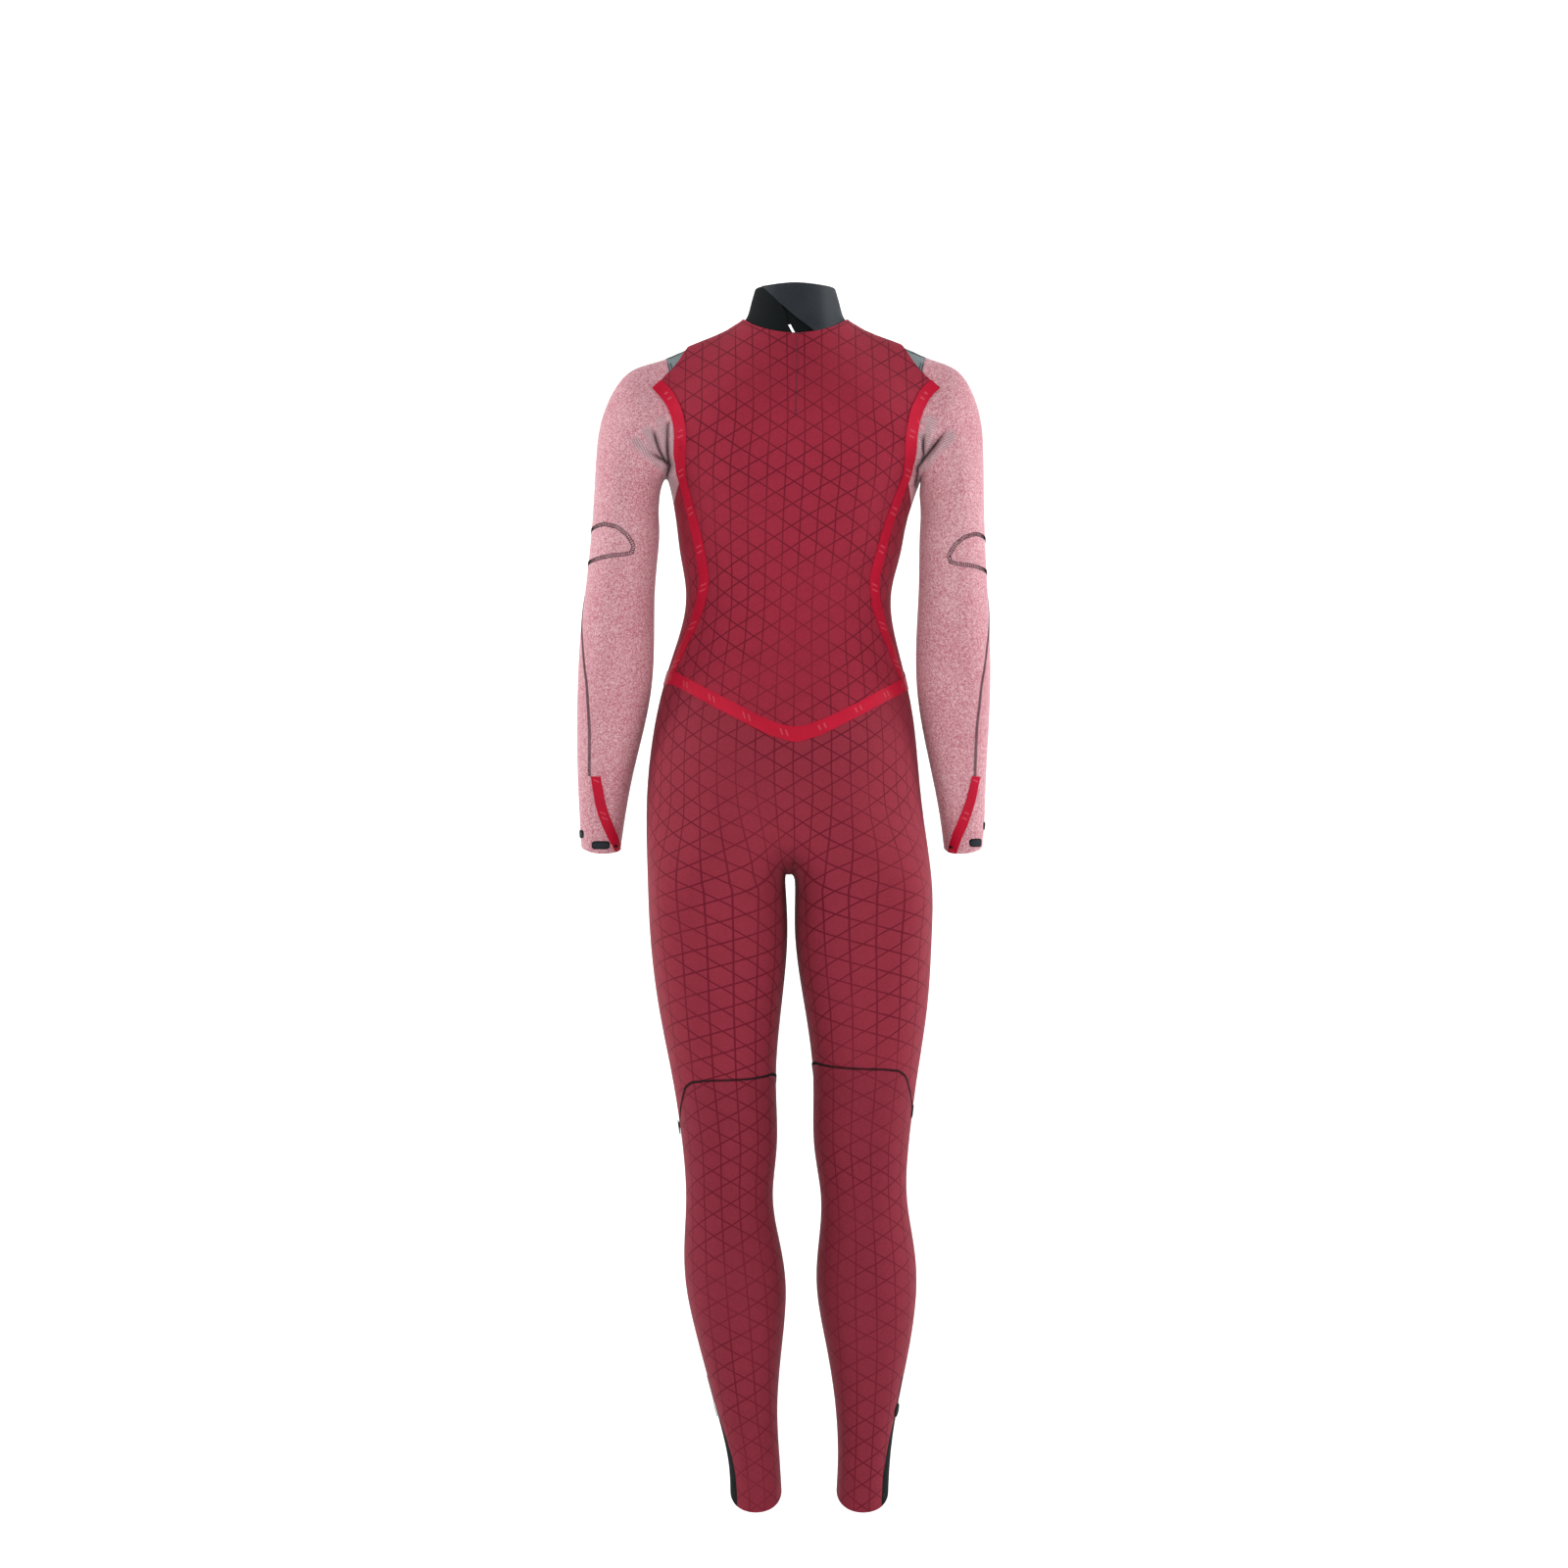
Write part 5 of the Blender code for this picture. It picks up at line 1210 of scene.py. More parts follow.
def fold_ribs(points, middles):
    """How near a point is to a ridge of the armpits, from 0 to 1, and its place across the ribs there."""
    fold = np.zeros(len(points))
    owned = np.zeros(len(points))
    ribs = np.zeros(len(points))
    for crease in ARMPIT_CREASES:
        if crease[1][3] < 0.0:
            nearness = crease_reach(middles, crease, RIB_SPREAD)[0]
            reach, _, way = crease_reach(points, crease, RIB_SPREAD)
            ribs = np.where(nearness > owned, way, ribs)
            owned = np.maximum(owned, nearness)
            fold = np.maximum(fold, reach)
    return fold, ribs


def crease_shade(points):
    """How dark the shadow down in a crease is, from 0 to 1."""
    shade = np.zeros(len(points))
    for crease in ARMPIT_CREASES + OTHER_CREASES:
        reach, depth, _ = crease_reach(points, crease, SHADE_SPREAD)
        shade = np.maximum(shade, reach * smooth_step(depth, 0.0, FULL_SHADE_DEPTH))
    return shade


def crease_depth(points, normals):
    """How far the cloth sinks in at its creases."""
    hollow = np.zeros(len(points))
    ridge = np.zeros(len(points))
    for crease in ARMPIT_CREASES + OTHER_CREASES:
        reach, depth, _ = crease_reach(points, crease)
        hollow = np.maximum(hollow, reach * depth)
        ridge = np.minimum(ridge, reach * depth)
    sunk = (hollow + ridge) * np.where(points[:, 1] < MIDDLE_Y, 1.0, FRONT_CREASE_SHARE)
    sunk *= smooth_step(np.abs(normals[:, 1]), 0.20, 0.60)
    wave = sum(np.sin(points @ np.array((a, b, c)) + phase) for a, b, c, phase in UNEVEN_WAVES)
    return sunk + np.where(points[:, 2] > -0.03, 0.0, UNEVEN_DEPTH * wave / 3.0)


def refine(skin, area):
    """Finer faces where there are creases."""
    nearest, farthest, lowest, highest, cuts = area

    def creased(edge):
        middle = (edge.verts[0].co + edge.verts[1].co) / 2.0
        return nearest <= abs(middle.x) < farthest and lowest < middle.z < highest
    edges = [edge for edge in skin.edges if creased(edge)]
    bmesh.ops.subdivide_edges(skin, edges=edges, cuts=cuts, use_grid_fill=True)


class Form:
    """The smooth form with its seams cut in, and the faces of each panel."""

    def __init__(self, sizes):
        self.skin = smooth_form(sizes.smoothing)
        for area in FINE_AREAS:
            refine(self.skin, area)
        cut_seams(self.skin)
        points = np.array([corner.co for corner in self.skin.verts])
        normals = np.array([corner.normal for corner in self.skin.verts])
        for corner, depth in zip(self.skin.verts, crease_depth(points, normals)):
            corner.co -= corner.normal * float(depth)
        self.skin.normal_update()
        self.panels = panel_faces(self.skin)
        self.tree = BVHTree.FromBMesh(self.skin)

    def meet(self, origin, aim):
        """Where a ray meets the form: the point and the normal that faces outwards."""
        point, normal, _, _ = self.tree.ray_cast(origin, aim)
        if point is None:
            raise RuntimeError("a seam leaves the form")
        return point, normal

    def on_leg(self, side, angle, z):
        middle = float(read_table(LEG_RINGS, z, 1 if side < 0 else 2))
        return self.meet(Vector((middle, 0.0, z)), outwards(side, angle))

    def on_sleeve(self, side, angle, z):
        inner, outer = (0, 1) if side < 0 else (2, 3)
        rows = [((row[4] + row[5]) / 2.0, (row[inner] + row[outer]) / 2.0, row[6]) for row in SLEEVE_RINGS]
        middle = Vector((float(read_table(rows, z, 1)), float(read_table(rows, z, 2)), z))
        return self.meet(middle, outwards(side, angle))

    def on_back(self, x, z):
        """The point behind at x and z, on the raised inner panel."""
        point, normal = self.meet(Vector((x, -1.0, z)), Vector((0.0, 1.0, 0.0)))
        return point + normal * shoulder_lift(point), normal


WORKROOM = {}


def form():
    if "form" not in WORKROOM:
        raise RuntimeError("shape the form first")
    return WORKROOM["form"]


def unlifted(point):
    return 0.0


def wall_of(kind, sizes):
    """A panel's wall: height of its outer face on the form, thickness, and what lifts it there."""
    beneath = -sizes.inner_panel_wall - SEAM_GAP
    walls = {"back_inner_panel": (0.0, sizes.inner_panel_wall, shoulder_lift),
             "outer_back": (beneath, OUTER_BACK_WALL, shoulder_lift),
             "zip_chain": (beneath, ZIP_CHAIN_WALL, shoulder_lift),
             "zip_tape": (beneath, ZIP_TAPE_WALL, shoulder_lift),
             "princess_tape": (SEAM_GAP + TAPE_WALL, TAPE_WALL, shoulder_lift),
             "hip_tape": (SEAM_GAP + TAPE_WALL, TAPE_WALL, unlifted),
             "wrist_tape": (SEAM_GAP + TAPE_WALL, TAPE_WALL, unlifted),
             "front_panel": (0.0, sizes.body_wall, unlifted),
             "seat_thighs": (0.0, sizes.body_wall, unlifted),
             "collar_over_flap": (0.0, sizes.collar_wall, flap_lift),
             "collar_left_band": (0.0, sizes.collar_wall, unlifted),
             "collar_inner_flap": (-sizes.collar_wall - SEAM_GAP, INNER_FLAP_WALL, unlifted)}
    return walls.get(kind, (0.0, sizes.limb_wall, unlifted))


def raise_wall(name, faces, wall, plan):
    """A closed wall on a panel's faces, raised along the form's own normals."""
    top, thickness, lift = wall
    chosen = set(faces)
    corners = list({corner: None for face in faces for corner in face.verts})
    turns_at = {}
    borders = []
    for face in faces:
        for loop in face.loops:
            if sum(1 for other in loop.edge.link_faces if other in chosen) == 1:
                start = loop.vert
                end = loop.link_loop_next.vert
                inward = face.normal.cross((end.co - start.co).normalized())
                borders.append((start, end))
                turns_at.setdefault(start, []).append(inward)
                turns_at.setdefault(end, []).append(inward)
    place = {corner: 2 * k for k, corner in enumerate(corners)}
    points = []
    bases = []
    for corner in corners:
        base = corner.co.copy()
        turns = turns_at.get(corner)
        if turns:
            direction = sum(turns, Vector()).normalized()
            base += direction * (SEAM_GAP / 2.0 / max(direction.dot(turns[0]), 0.45))
        height = lift(corner.co) + top
        points += [base + corner.normal * height, base + corner.normal * (height - thickness)]
        bases += [corner.co, corner.co]
    triangles = []
    for face in faces:
        a, b, c = (place[loop.vert] for loop in face.loops)
        triangles.append((a, b, c))
        triangles.append((c + 1, b + 1, a + 1))
    for start, end in borders:
        a, b = place[start], place[end]
        triangles.append((b, a, b + 1))
        triangles.append((a, a + 1, b + 1))
    mesh = new_mesh(name, points, triangles)
    lay_cloth(mesh, np.array(bases), plan)
    return bpy.data.objects.new(name, mesh)


def add_piece(context, piece, finish, sharp=40.0):
    """Link a piece, give it its finish and fix it to the garment."""
    context.scene.collection.objects.link(piece)
    piece.data.materials.append(finish_material(context, finish))
    piece.data.shade_smooth()
    piece.data.set_sharp_from_angle(angle=math.radians(sharp))
    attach(piece, "root")


def make_panel(context, name):
    """Raise one panel in place of its solid and give it its finish."""
    kind = name if name in PANEL_FINISH else name.rsplit("_", 1)[0]
    piece = raise_wall(name + "_cloth", form().panels[name], wall_of(kind, context.scene.wetsuit_sizes),
                       PLANS.get(name, level_plan))
    add_piece(context, piece, PANEL_FINISH[kind])
    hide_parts(name)
    SLOTS.get(PANEL_FINISH[kind], PANEL_FINISH[kind])
    if name in CUTS:
        width, length, area_share, under = CUTS[name]


def pair(kind):
    return kind + "_left", kind + "_right"


def make_panels(context, *names):
    for name in names:
        make_panel(context, name)


def dress_node(context, node, finish):
    """Give a solid of the frame its finish."""
    solid = bpy.data.objects[node]
    solid.data.materials.clear()
    solid.data.materials.append(finish_material(context, finish))


# Stitching

def run_of(places, step):
    """Even steps along a seam: points, normals and directions across."""
    points = np.array([tuple(point) for point, _ in places])
    normals = np.array([tuple(normal) for _, normal in places])
    reach = np.concatenate(([0.0], np.cumsum(np.linalg.norm(np.diff(points, axis=0), axis=1))))
    at = np.linspace(0.0, reach[-1], max(int(round(reach[-1] / step)), 2) + 1)
    points = np.column_stack([np.interp(at, reach, points[:, k]) for k in range(3)])
    normals = np.column_stack([np.interp(at, reach, normals[:, k]) for k in range(3)])
    normals /= np.linalg.norm(normals, axis=1)[:, None]
    across = np.cross(normals, np.gradient(points, axis=0))
    across /= np.linalg.norm(across, axis=1)[:, None]
    return points, normals, across


def stitches_of(places, pattern, width, step):
    """Stitches of one seam, each a start, an end and a normal."""
    points, normals, across = run_of(places, step)
    left = points + across * width / 2.0
    right = points - across * width / 2.0
    made = []
    for k in range(len(points) - 1):
        after = k + 1
        if pattern == "zigzag":
            ends = [(left[k], right[k]), (right[k], left[after])]
        elif pattern == "cross":
            ends = [(left[k], right[after]), (right[k], left[after])]
        elif pattern in ("twin", "ladder"):
            ends = [(left[k], left[k] + (left[after] - left[k]) * 0.80),
                    (right[k], right[k] + (right[after] - right[k]) * 0.80)]
            if pattern == "ladder":
                ends.append((left[k], right[k]))
        elif pattern == "tack":
            ends = [(left[k], right[k]), (left[k], right[after])]
        else:
            ends = [(points[k], points[k] + (points[after] - points[k]) * 0.80)]
        made += [(start, end, normals[k]) for start, end in ends]
    return made


def thread_piece(name, stitches, radius):
    """One mesh of short raised threads on the cloth."""
    sides = 5
    shape = ((0.0, 0.0, 0.55), (0.22, 0.85, 1.0), (0.78, 0.85, 1.0), (1.0, 0.0, 0.55))
    points = []
    faces = []
    for start, end, normal in stitches:
        run = end - start
        sideways = np.cross(run, normal)
        sideways /= np.linalg.norm(sideways)
        first = len(points)
        for share, height, girth in shape:
            middle = start + run * share + normal * (height * radius)
            for k in range(sides):
                turn = 2.0 * math.pi * k / sides
                ring = sideways * math.cos(turn) + normal * math.sin(turn)
                points.append(middle + ring * radius * girth)
        for ring in range(len(shape) - 1):
            for k in range(sides):
                a = first + ring * sides + k
                b = first + ring * sides + (k + 1) % sides
                faces.append((b, a, a + sides, b + sides))
        last = first + (len(shape) - 1) * sides
        faces.append(tuple(first + k for k in range(sides)))
        faces.append(tuple(last + k for k in reversed(range(sides))))
    return bpy.data.objects.new(name, new_mesh(name, points, faces))


def knee_places(side):
    rise = 0.0 if side < 0 else KNEE_RISE_RIGHT
    return [form().on_leg(side, angle, float(read_table(KNEE_SEAM, angle)) + rise)
            for angle in np.linspace(-180.0, 180.0, 121)]


def elbow_places(side):
    hand = 0 if side < 0 else 1
    middle_x, middle_y = ELBOW_AXIS[hand]
    outline = ELBOW_OUTLINE + ELBOW_OUTLINE[:1]
    found = []
    for (angle, z), (next_angle, next_z) in zip(outline, outline[1:]):
        for share in (0.0, 0.25, 0.5, 0.75):
            turn = angle + (next_angle - angle) * share + ELBOW_TURN[hand]
            height = z + (next_z - z) * share - ELBOW_DROP[hand]
            found.append(form().meet(Vector((middle_x, middle_y, height)), outwards(side, turn)))
    return found + found[:1]


def forearm_places(side):
    heights = np.linspace(WRIST_TAPE_TOP_Z, FOREARM_SEAM[-1][0], 60)
    return [form().on_sleeve(side, float(read_table(FOREARM_SEAM, z)), float(z)) for z in heights]


def yoke_places(side):
    """The yoke's outer edge, and its top edge along the tab."""
    outer = []
    for z in np.linspace(*YOKE_STITCHED_HEIGHTS, 8):
        x = lean(z) + side * (read_table(YOKE_EDGE, z) - YOKE_STITCH_INSET)
        outer.append(form().meet(Vector((float(x), -1.0, float(z))), Vector((0.0, 1.0, 0.0))))
    y = SHOULDER_POINT[1] - TAB_BACK_DEPTH - TAB_STITCH_INSET
    top = []
    for offset in np.linspace(*YOKE_STITCHED_OFFSETS, 8):
        x = float(lean(YOKE_TOP_Z)) + side * float(offset)
        top.append(form().meet(Vector((x, y, 0.1)), Vector((0.0, 0.0, -1.0))))
    return outer, top


def back_places(ends, count=24, lift=0.0):
    """A seam drawn on the back, through points given by x and height."""
    at = np.linspace(0.0, len(ends) - 1.0, count)
    across = np.interp(at, range(len(ends)), [end[0] for end in ends])
    heights = np.interp(at, range(len(ends)), [end[1] for end in ends])
    found = [form().on_back(float(x), float(z)) for x, z in zip(across, heights)]
    return [(point + normal * lift, normal) for point, normal in found]


# Colours and spacings that the finishes share
CREASE_SHADOW = (0.010, 0.004, 0.005)
RIB_CREST = (0.78, 0.60, 0.63)
# Dark stripes between the opened ribs: painted shade in their grooves
RIB_GROOVE_PAINTED_SHADE = (0.130, 0.065, 0.078)
MARK_PITCH = 0.0062
MARK_GROUP_PITCH = 0.0434
JERSEY_RIB_PITCH = 0.0011

# Bare neoprene and plastic: scale of the grain, roughness, gloss
GRAINS = {"smooth_skin": (1400.0, 0.52, 0.10), "black_neoprene": (800.0, 0.80, 0.09),
          "zip_plastic": (2200.0, 0.42, 0.35)}


# Shader maths

class Shade:
    """A value or colour on its way through a material; sums on it add Math nodes."""

    def __init__(self, board, socket):
        self.board = board
        self.socket = socket

    def math(self, operation, *values):
        return self.board.node("ShaderNodeMath", {"operation": operation}, dict(enumerate(values)))

    def __add__(self, other):
        return self.math("ADD", self, other)

    def __radd__(self, other):
        return self.math("ADD", other, self)

    def __sub__(self, other):
        return self.math("SUBTRACT", self, other)

    def __rsub__(self, other):
        return self.math("SUBTRACT", other, self)

    def __mul__(self, other):
        return self.math("MULTIPLY", self, other)

    def __rmul__(self, other):
        return self.math("MULTIPLY", other, self)

    def __truediv__(self, other):
        return self.math("DIVIDE", self, other)

    def __rtruediv__(self, other):
        return self.math("DIVIDE", other, self)

    def __abs__(self):
        return self.math("ABSOLUTE", self)

    def fraction(self):
        return self.math("FRACT", self)

    def least(self, other):
        return self.math("MINIMUM", self, other)

    def ramp(self, low, high, start, end):
        return self.board.node("ShaderNodeMapRange", {"interpolation_type": "SMOOTHSTEP"},
                               {0: self, 1: low, 2: high, 3: start, 4: end})

    def rise(self, low, high):
        """0 at low and 1 at high, with soft ends."""
        return self.ramp(low, high, 0.0, 1.0)

    def fall(self, low, high):
        """1 at low and 0 at high, with soft ends."""
        return self.ramp(low, high, 1.0, 0.0)


class Board:
    """The nodes of one material."""

    def __init__(self, name):
        self.material = bpy.data.materials.new(name)
        self.material.use_nodes = True
        self.nodes = self.material.node_tree.nodes
        self.links = self.material.node_tree.links
        self.shader = self.nodes["Principled BSDF"]

    def node(self, kind, settings=None, inputs=None, output=0):
        """A node of this kind: its settings first, then the values or links of its sockets."""
        made = self.nodes.new(kind)
        for name, value in (settings or {}).items():
            setattr(made, name, value)
        for name, value in (inputs or {}).items():
            self.feed(made.inputs[name], value)
        return Shade(self, made.outputs[output])

    def feed(self, socket, value):
        if isinstance(value, Shade):
            self.links.new(value.socket, socket)
        elif socket.type == "RGBA":
            socket.default_value = (value[0], value[1], value[2], 1.0)
        else:
            socket.default_value = value

    def mix(self, share, first, second):
        """Colour between two colours."""
        return self.node("ShaderNodeMix", {"data_type": "RGBA"}, {0: share, 6: first, 7: second}, output=2)

    def tint(self, colour, amount):
        """A colour times a value."""
        return self.node("ShaderNodeVectorMath", {"operation": "SCALE"}, {0: tuple(colour), 3: amount})

    def place(self):
        """Place on the object, in metres."""
        return self.node("ShaderNodeTexCoord", output=3)

    def cloth(self):
        """Place on the flat cloth, in metres."""
        return self.node("ShaderNodeAttribute", {"attribute_name": "cloth"}, output=1)

    def creased(self, colour, strength):
        """A colour with painted shadow down in the creases."""
        return self.mix(self.number("crease") * strength, colour, CREASE_SHADOW)

    def number(self, name):
        """A number kept on the mesh."""
        return self.node("ShaderNodeAttribute", {"attribute_name": name}, output=2)

    def parts(self, vector):
        split = self.node("ShaderNodeSeparateXYZ", inputs={0: vector}).socket.node
        return [Shade(self, split.outputs[k]) for k in range(3)]

    def noise(self, place, scale, detail=2.0):
        return self.node("ShaderNodeTexNoise", inputs={"Vector": place, "Scale": scale, "Detail": detail})

    def flecks(self, place, scale):
        """A random value for each small cell."""
        cells = self.node("ShaderNodeTexVoronoi", inputs={"Vector": place, "Scale": scale}, output=1)
        return self.parts(cells)[0]

    def bump(self, height, strength, distance):
        return self.node("ShaderNodeBump", inputs={"Height": height, "Strength": strength,
                                                   "Distance": distance})

    def finish(self, colour, roughness, normal=None, **fixed):
        self.feed(self.shader.inputs["Base Color"], colour)
        self.feed(self.shader.inputs["Roughness"], roughness)
        if normal is not None:
            self.feed(self.shader.inputs["Normal"], normal)
        for name, value in fixed.items():
            self.feed(self.shader.inputs[name.replace("_", " ")], value)
        return self.material


def lattice_lines(board, sizes):
    """1 on the lattice's lines and 0 between them: three families of lines make a plaited grid."""
    across, along, _ = board.parts(board.cloth())
    half_line = sizes.lattice_line / sizes.lattice_pitch / 2.0
    nearest = None
    for turn in (0.0, 120.0, 240.0):
        run_across = math.cos(math.radians(turn)) / sizes.lattice_pitch
        run_along = math.sin(math.radians(turn)) / sizes.lattice_pitch
        gap = abs((across * run_across + along * run_along).fraction() - 0.5)
        nearest = gap if nearest is None else nearest.least(gap)
    return nearest.fall(half_line * 0.6, half_line * 1.4)


def lining_material(name, colour, sizes, colours):
    """Knitted lining with a lattice pressed into it, tone on tone."""
    board = Board(name)
    place = board.place()
    line = lattice_lines(board, sizes) * (board.noise(place, 9.0).rise(0.30, 0.62) * 0.45 + 0.55)
    knit = board.flecks(place, 900.0)
    shade = board.noise(place, 38.0, 3.0) * 0.14 + 0.93 + (knit - 0.5) * 0.20
    face = board.mix(line, board.tint(colour, shade), tuple(colours.lattice))
    # painted shadow down in the creases
    return board.finish(board.creased(face, 0.75), 0.86 - line * 0.1,
                        board.bump(knit * 0.25 - line * 0.9, 0.45, 0.0005),
                        Sheen_Weight=0.06, Sheen_Roughness=0.4, Specular_IOR_Level=0.12)


def heather_material(name, sizes, colours):
    """Brushed knit of white and red yarns, whose ribs open where it folds at the armpits, with painted shade
    in the ribs' grooves and painted shadow down in the creases.
    """
    board = Board(name)
    place = board.place()
    grain = board.flecks(place, 1500.0)
    second = board.flecks(place, 1000.0)
    mottle = board.noise(place, 430.0, 3.0)
    patch = board.noise(place, 14.0, 3.0)
    pale_share = (grain * 0.55 + mottle * 0.90 - 0.22 + (patch - 0.5) * 0.25).rise(0.15, 0.85) * 0.80
    ground = board.mix(pale_share, tuple(colours.heather_pink), tuple(colours.heather_pale))
    flecked = board.mix(second.rise(0.70, 0.95) * 0.45, ground, tuple(colours.heather_red))
    run = board.number("rib") + board.noise(place, 55.0) * 0.003
    rib = abs((run / sizes.rib_pitch).fraction() - 0.5).rise(0.08, 0.42)
    _, _, fold = board.parts(board.cloth())
    folded = fold.rise(0.18, 0.95) * board.noise(place, 90.0).rise(0.15, 0.50)
    # pale yarn on the ribs' crests, painted shade in their grooves
    ribs = board.mix(rib, RIB_CREST, RIB_GROOVE_PAINTED_SHADE)
    ribbed = board.mix(folded * 0.70, flecked, ribs)
    relief = grain * 0.5 + mottle * 0.5 - rib * folded * 1.0
    # painted shadow down in the creases
    return board.finish(board.creased(ribbed, 0.97), 0.92, board.bump(relief, 0.50, 0.0006),
                        Sheen_Weight=0.50, Sheen_Roughness=0.35, Sheen_Tint=(1.0, 0.93, 0.94),
                        Specular_IOR_Level=0.10)


def tape_material(name, colours):
    """Bonded tape with a faint weave, plain slanted marks and broad patches of painted shade."""
    board = Board(name)
    place = board.place()
    across, along, _ = board.parts(board.cloth())
    slant = along + across * 0.45
    short_mark = abs((slant / MARK_PITCH).fraction() - 0.5).fall(0.12, 0.17)
    group = abs((slant / MARK_GROUP_PITCH).fraction() - 0.5).rise(0.34, 0.36)
    mark = short_mark * group * abs(across).fall(0.0028, 0.0032) * 0.55
    weave = board.flecks(place, 900.0)
    # The broad noise patches are painted shade, standing in for the tape's wrinkles and its turns away from
    # the light.
    shade = board.noise(place, 60.0) * 0.16 + board.noise(place, 17.0) * 0.50 + 0.66 + (weave - 0.5) * 0.10
    face = board.mix(mark, board.tint(colours.tape, shade), tuple(colours.tape_mark))
    # painted shadow down in the creases and the tape's wrinkles
    return board.finish(board.creased(face, 0.70), 0.44 + mark * 0.1,
                        board.bump(weave * 0.3 - mark * 0.5, 0.25, 0.0003), Specular_IOR_Level=0.12)


def neoprene_material(name, colour, grain_scale, roughness, gloss):
    """Bare neoprene: fine pores, a little uneven in its shine."""
    board = Board(name)
    place = board.place()
    pores = board.flecks(place, grain_scale)
    cloud = board.noise(place, 30.0, 3.0)
    face = board.tint(colour, cloud * 0.5 + 0.75 + (pores - 0.5) * 0.25)
    return board.finish(face, cloud * 0.12 + roughness, board.bump(pores, 0.20, 0.0002),
                        Specular_IOR_Level=gloss)


def jersey_material(name, colours):
    """Grey jersey with fine upright ribs."""
    board = Board(name)
    place = board.place()
    x, _, _ = board.parts(place)
    rib = abs((x / JERSEY_RIB_PITCH).fraction() - 0.5) * 2.0
    fleck = board.flecks(place, 1100.0)
    face = board.tint(colours.jersey, rib * 0.12 + 0.90 + (fleck - 0.5) * 0.35)
    return board.finish(face, 0.92 - rib * 0.05, board.bump(rib * 0.4 + fleck * 0.3, 0.3, 0.0003),
                        Sheen_Weight=0.1)


def thread_material(name, colour):
    """Twisted thread."""
    board = Board(name)
    twist = board.noise(board.place(), 1500.0)
    return board.finish(board.tint(colour, twist * 0.8 + 0.6), 0.66 - twist * 0.1,
                        board.bump(twist, 0.3, 0.0002), Specular_IOR_Level=0.15)


def backdrop_material(colour):
    """Matt paper, a shade uneven."""
    board = Board("backdrop_paper")
    cloud = board.noise(board.place(), 1.2)
    return board.finish(board.tint(colour, cloud * 0.01 + 0.995), 0.95, Specular_IOR_Level=0.1)


def make_finish(name, sizes, colours):
    title = name + "_finish"
    if name in ("red_lining", "dark_red_lining", "lower_leg_lining"):
        return lining_material(title, getattr(colours, name), sizes, colours)
    if name == "heather_lining":
        return heather_material(title, sizes, colours)
    if name == "red_tape":
        return tape_material(title, colours)
    if name == "grey_jersey":
        return jersey_material(title, colours)
    if name in GRAINS:
        return neoprene_material(title, getattr(colours, name), *GRAINS[name])
    return thread_material(title, getattr(colours, name))


def finish_material(context, name):
    """The material of a finish, made when it is first needed."""
    if name not in WORKROOM:
        WORKROOM[name] = make_finish(name, context.scene.wetsuit_sizes, context.scene.wetsuit_colours)
    return WORKROOM[name]


# Settings

def length_property(name, description, default):
    return FloatProperty(name=name, description=description, default=default, min=0.0,
                         subtype="DISTANCE", unit="LENGTH")


def power_property(name, description, default):
    return FloatProperty(name=name, description=description, default=default, min=0.0,
                         subtype="POWER", unit="POWER")


def colour_property(name, description, default):
    return FloatVectorProperty(name=name, description=description, default=default, size=3,
                               subtype="COLOR", min=0.0, max=1.0)


class WetsuitSizes(bpy.types.PropertyGroup):
    smoothing: IntProperty(name="Smoothing", description="Subdivision of the form", default=3, min=1, max=4)
    body_wall: length_property("Body wall", "Neoprene of the front, seat and thighs", 0.004)
    limb_wall: length_property("Limb wall", "Neoprene of the sleeves and lower legs", 0.003)
    inner_panel_wall: length_property("Inner panel wall", "Neoprene of the back's inner panel", 0.002)
    collar_wall: length_property("Collar wall", "Neoprene of the collar's flaps", 0.002)
    lattice_pitch: length_property("Lattice pitch", "Spacing of the lining's parallel lines", 0.0215)
    lattice_line: length_property("Lattice line", "Width of a line of the lattice", 0.0016)
    stitch_pitch: length_property("Stitch pitch", "Length of one stitch", 0.0026)
    thread_radius: length_property("Thread radius", "Half the thickness of the thread", 0.00040)
    rib_pitch: length_property("Rib pitch", "Spacing of the ribs of the sleeves' cloth", 0.0019)


class WetsuitColours(bpy.types.PropertyGroup):
    red_lining: colour_property("Red lining", "Lining of the back and front", (0.318, 0.0228, 0.0460))
    dark_red_lining: colour_property("Dark red lining", "Lining of seat and thighs", (0.275, 0.0268, 0.047))
    # A darker copy of the dark red lining: painted shade where the light falls off towards the feet
    lower_leg_lining: colour_property("Lower leg lining", "Lining of the lower legs", (0.242, 0.0245, 0.0430))
    lattice: colour_property("Lattice", "Lines of the lattice", (0.150, 0.0070, 0.0200))
    heather_pale: colour_property("Heather pale", "Pale flecks of the sleeves", (0.88, 0.625, 0.655))
    heather_pink: colour_property("Heather pink", "Ground of the sleeves", (0.490, 0.130, 0.182))
    heather_red: colour_property("Heather red", "Dark flecks of the sleeves", (0.36, 0.065, 0.100))
    tape: colour_property("Tape", "Bonded seam tape", (0.510, 0.0080, 0.0340))
    tape_mark: colour_property("Tape mark", "Marks on the tape", (0.640, 0.100, 0.140))
    smooth_skin: colour_property("Smooth skin", "The collar's over-flap", (0.0255, 0.0310, 0.0370))
    black_neoprene: colour_property("Black neoprene", "Bare neoprene", (0.0070, 0.0090, 0.0096))
    jersey: colour_property("Jersey", "The yokes", (0.205, 0.245, 0.258))
    thread: colour_property("Thread", "Stitching", (0.0080, 0.0075, 0.0090))
    dart_thread: colour_property("Dart thread", "Stitching of the back's dart", (0.060, 0.040, 0.050))
    zip_plastic: colour_property("Zip plastic", "Chain, tape and slider of the zip", (0.018, 0.018, 0.020))


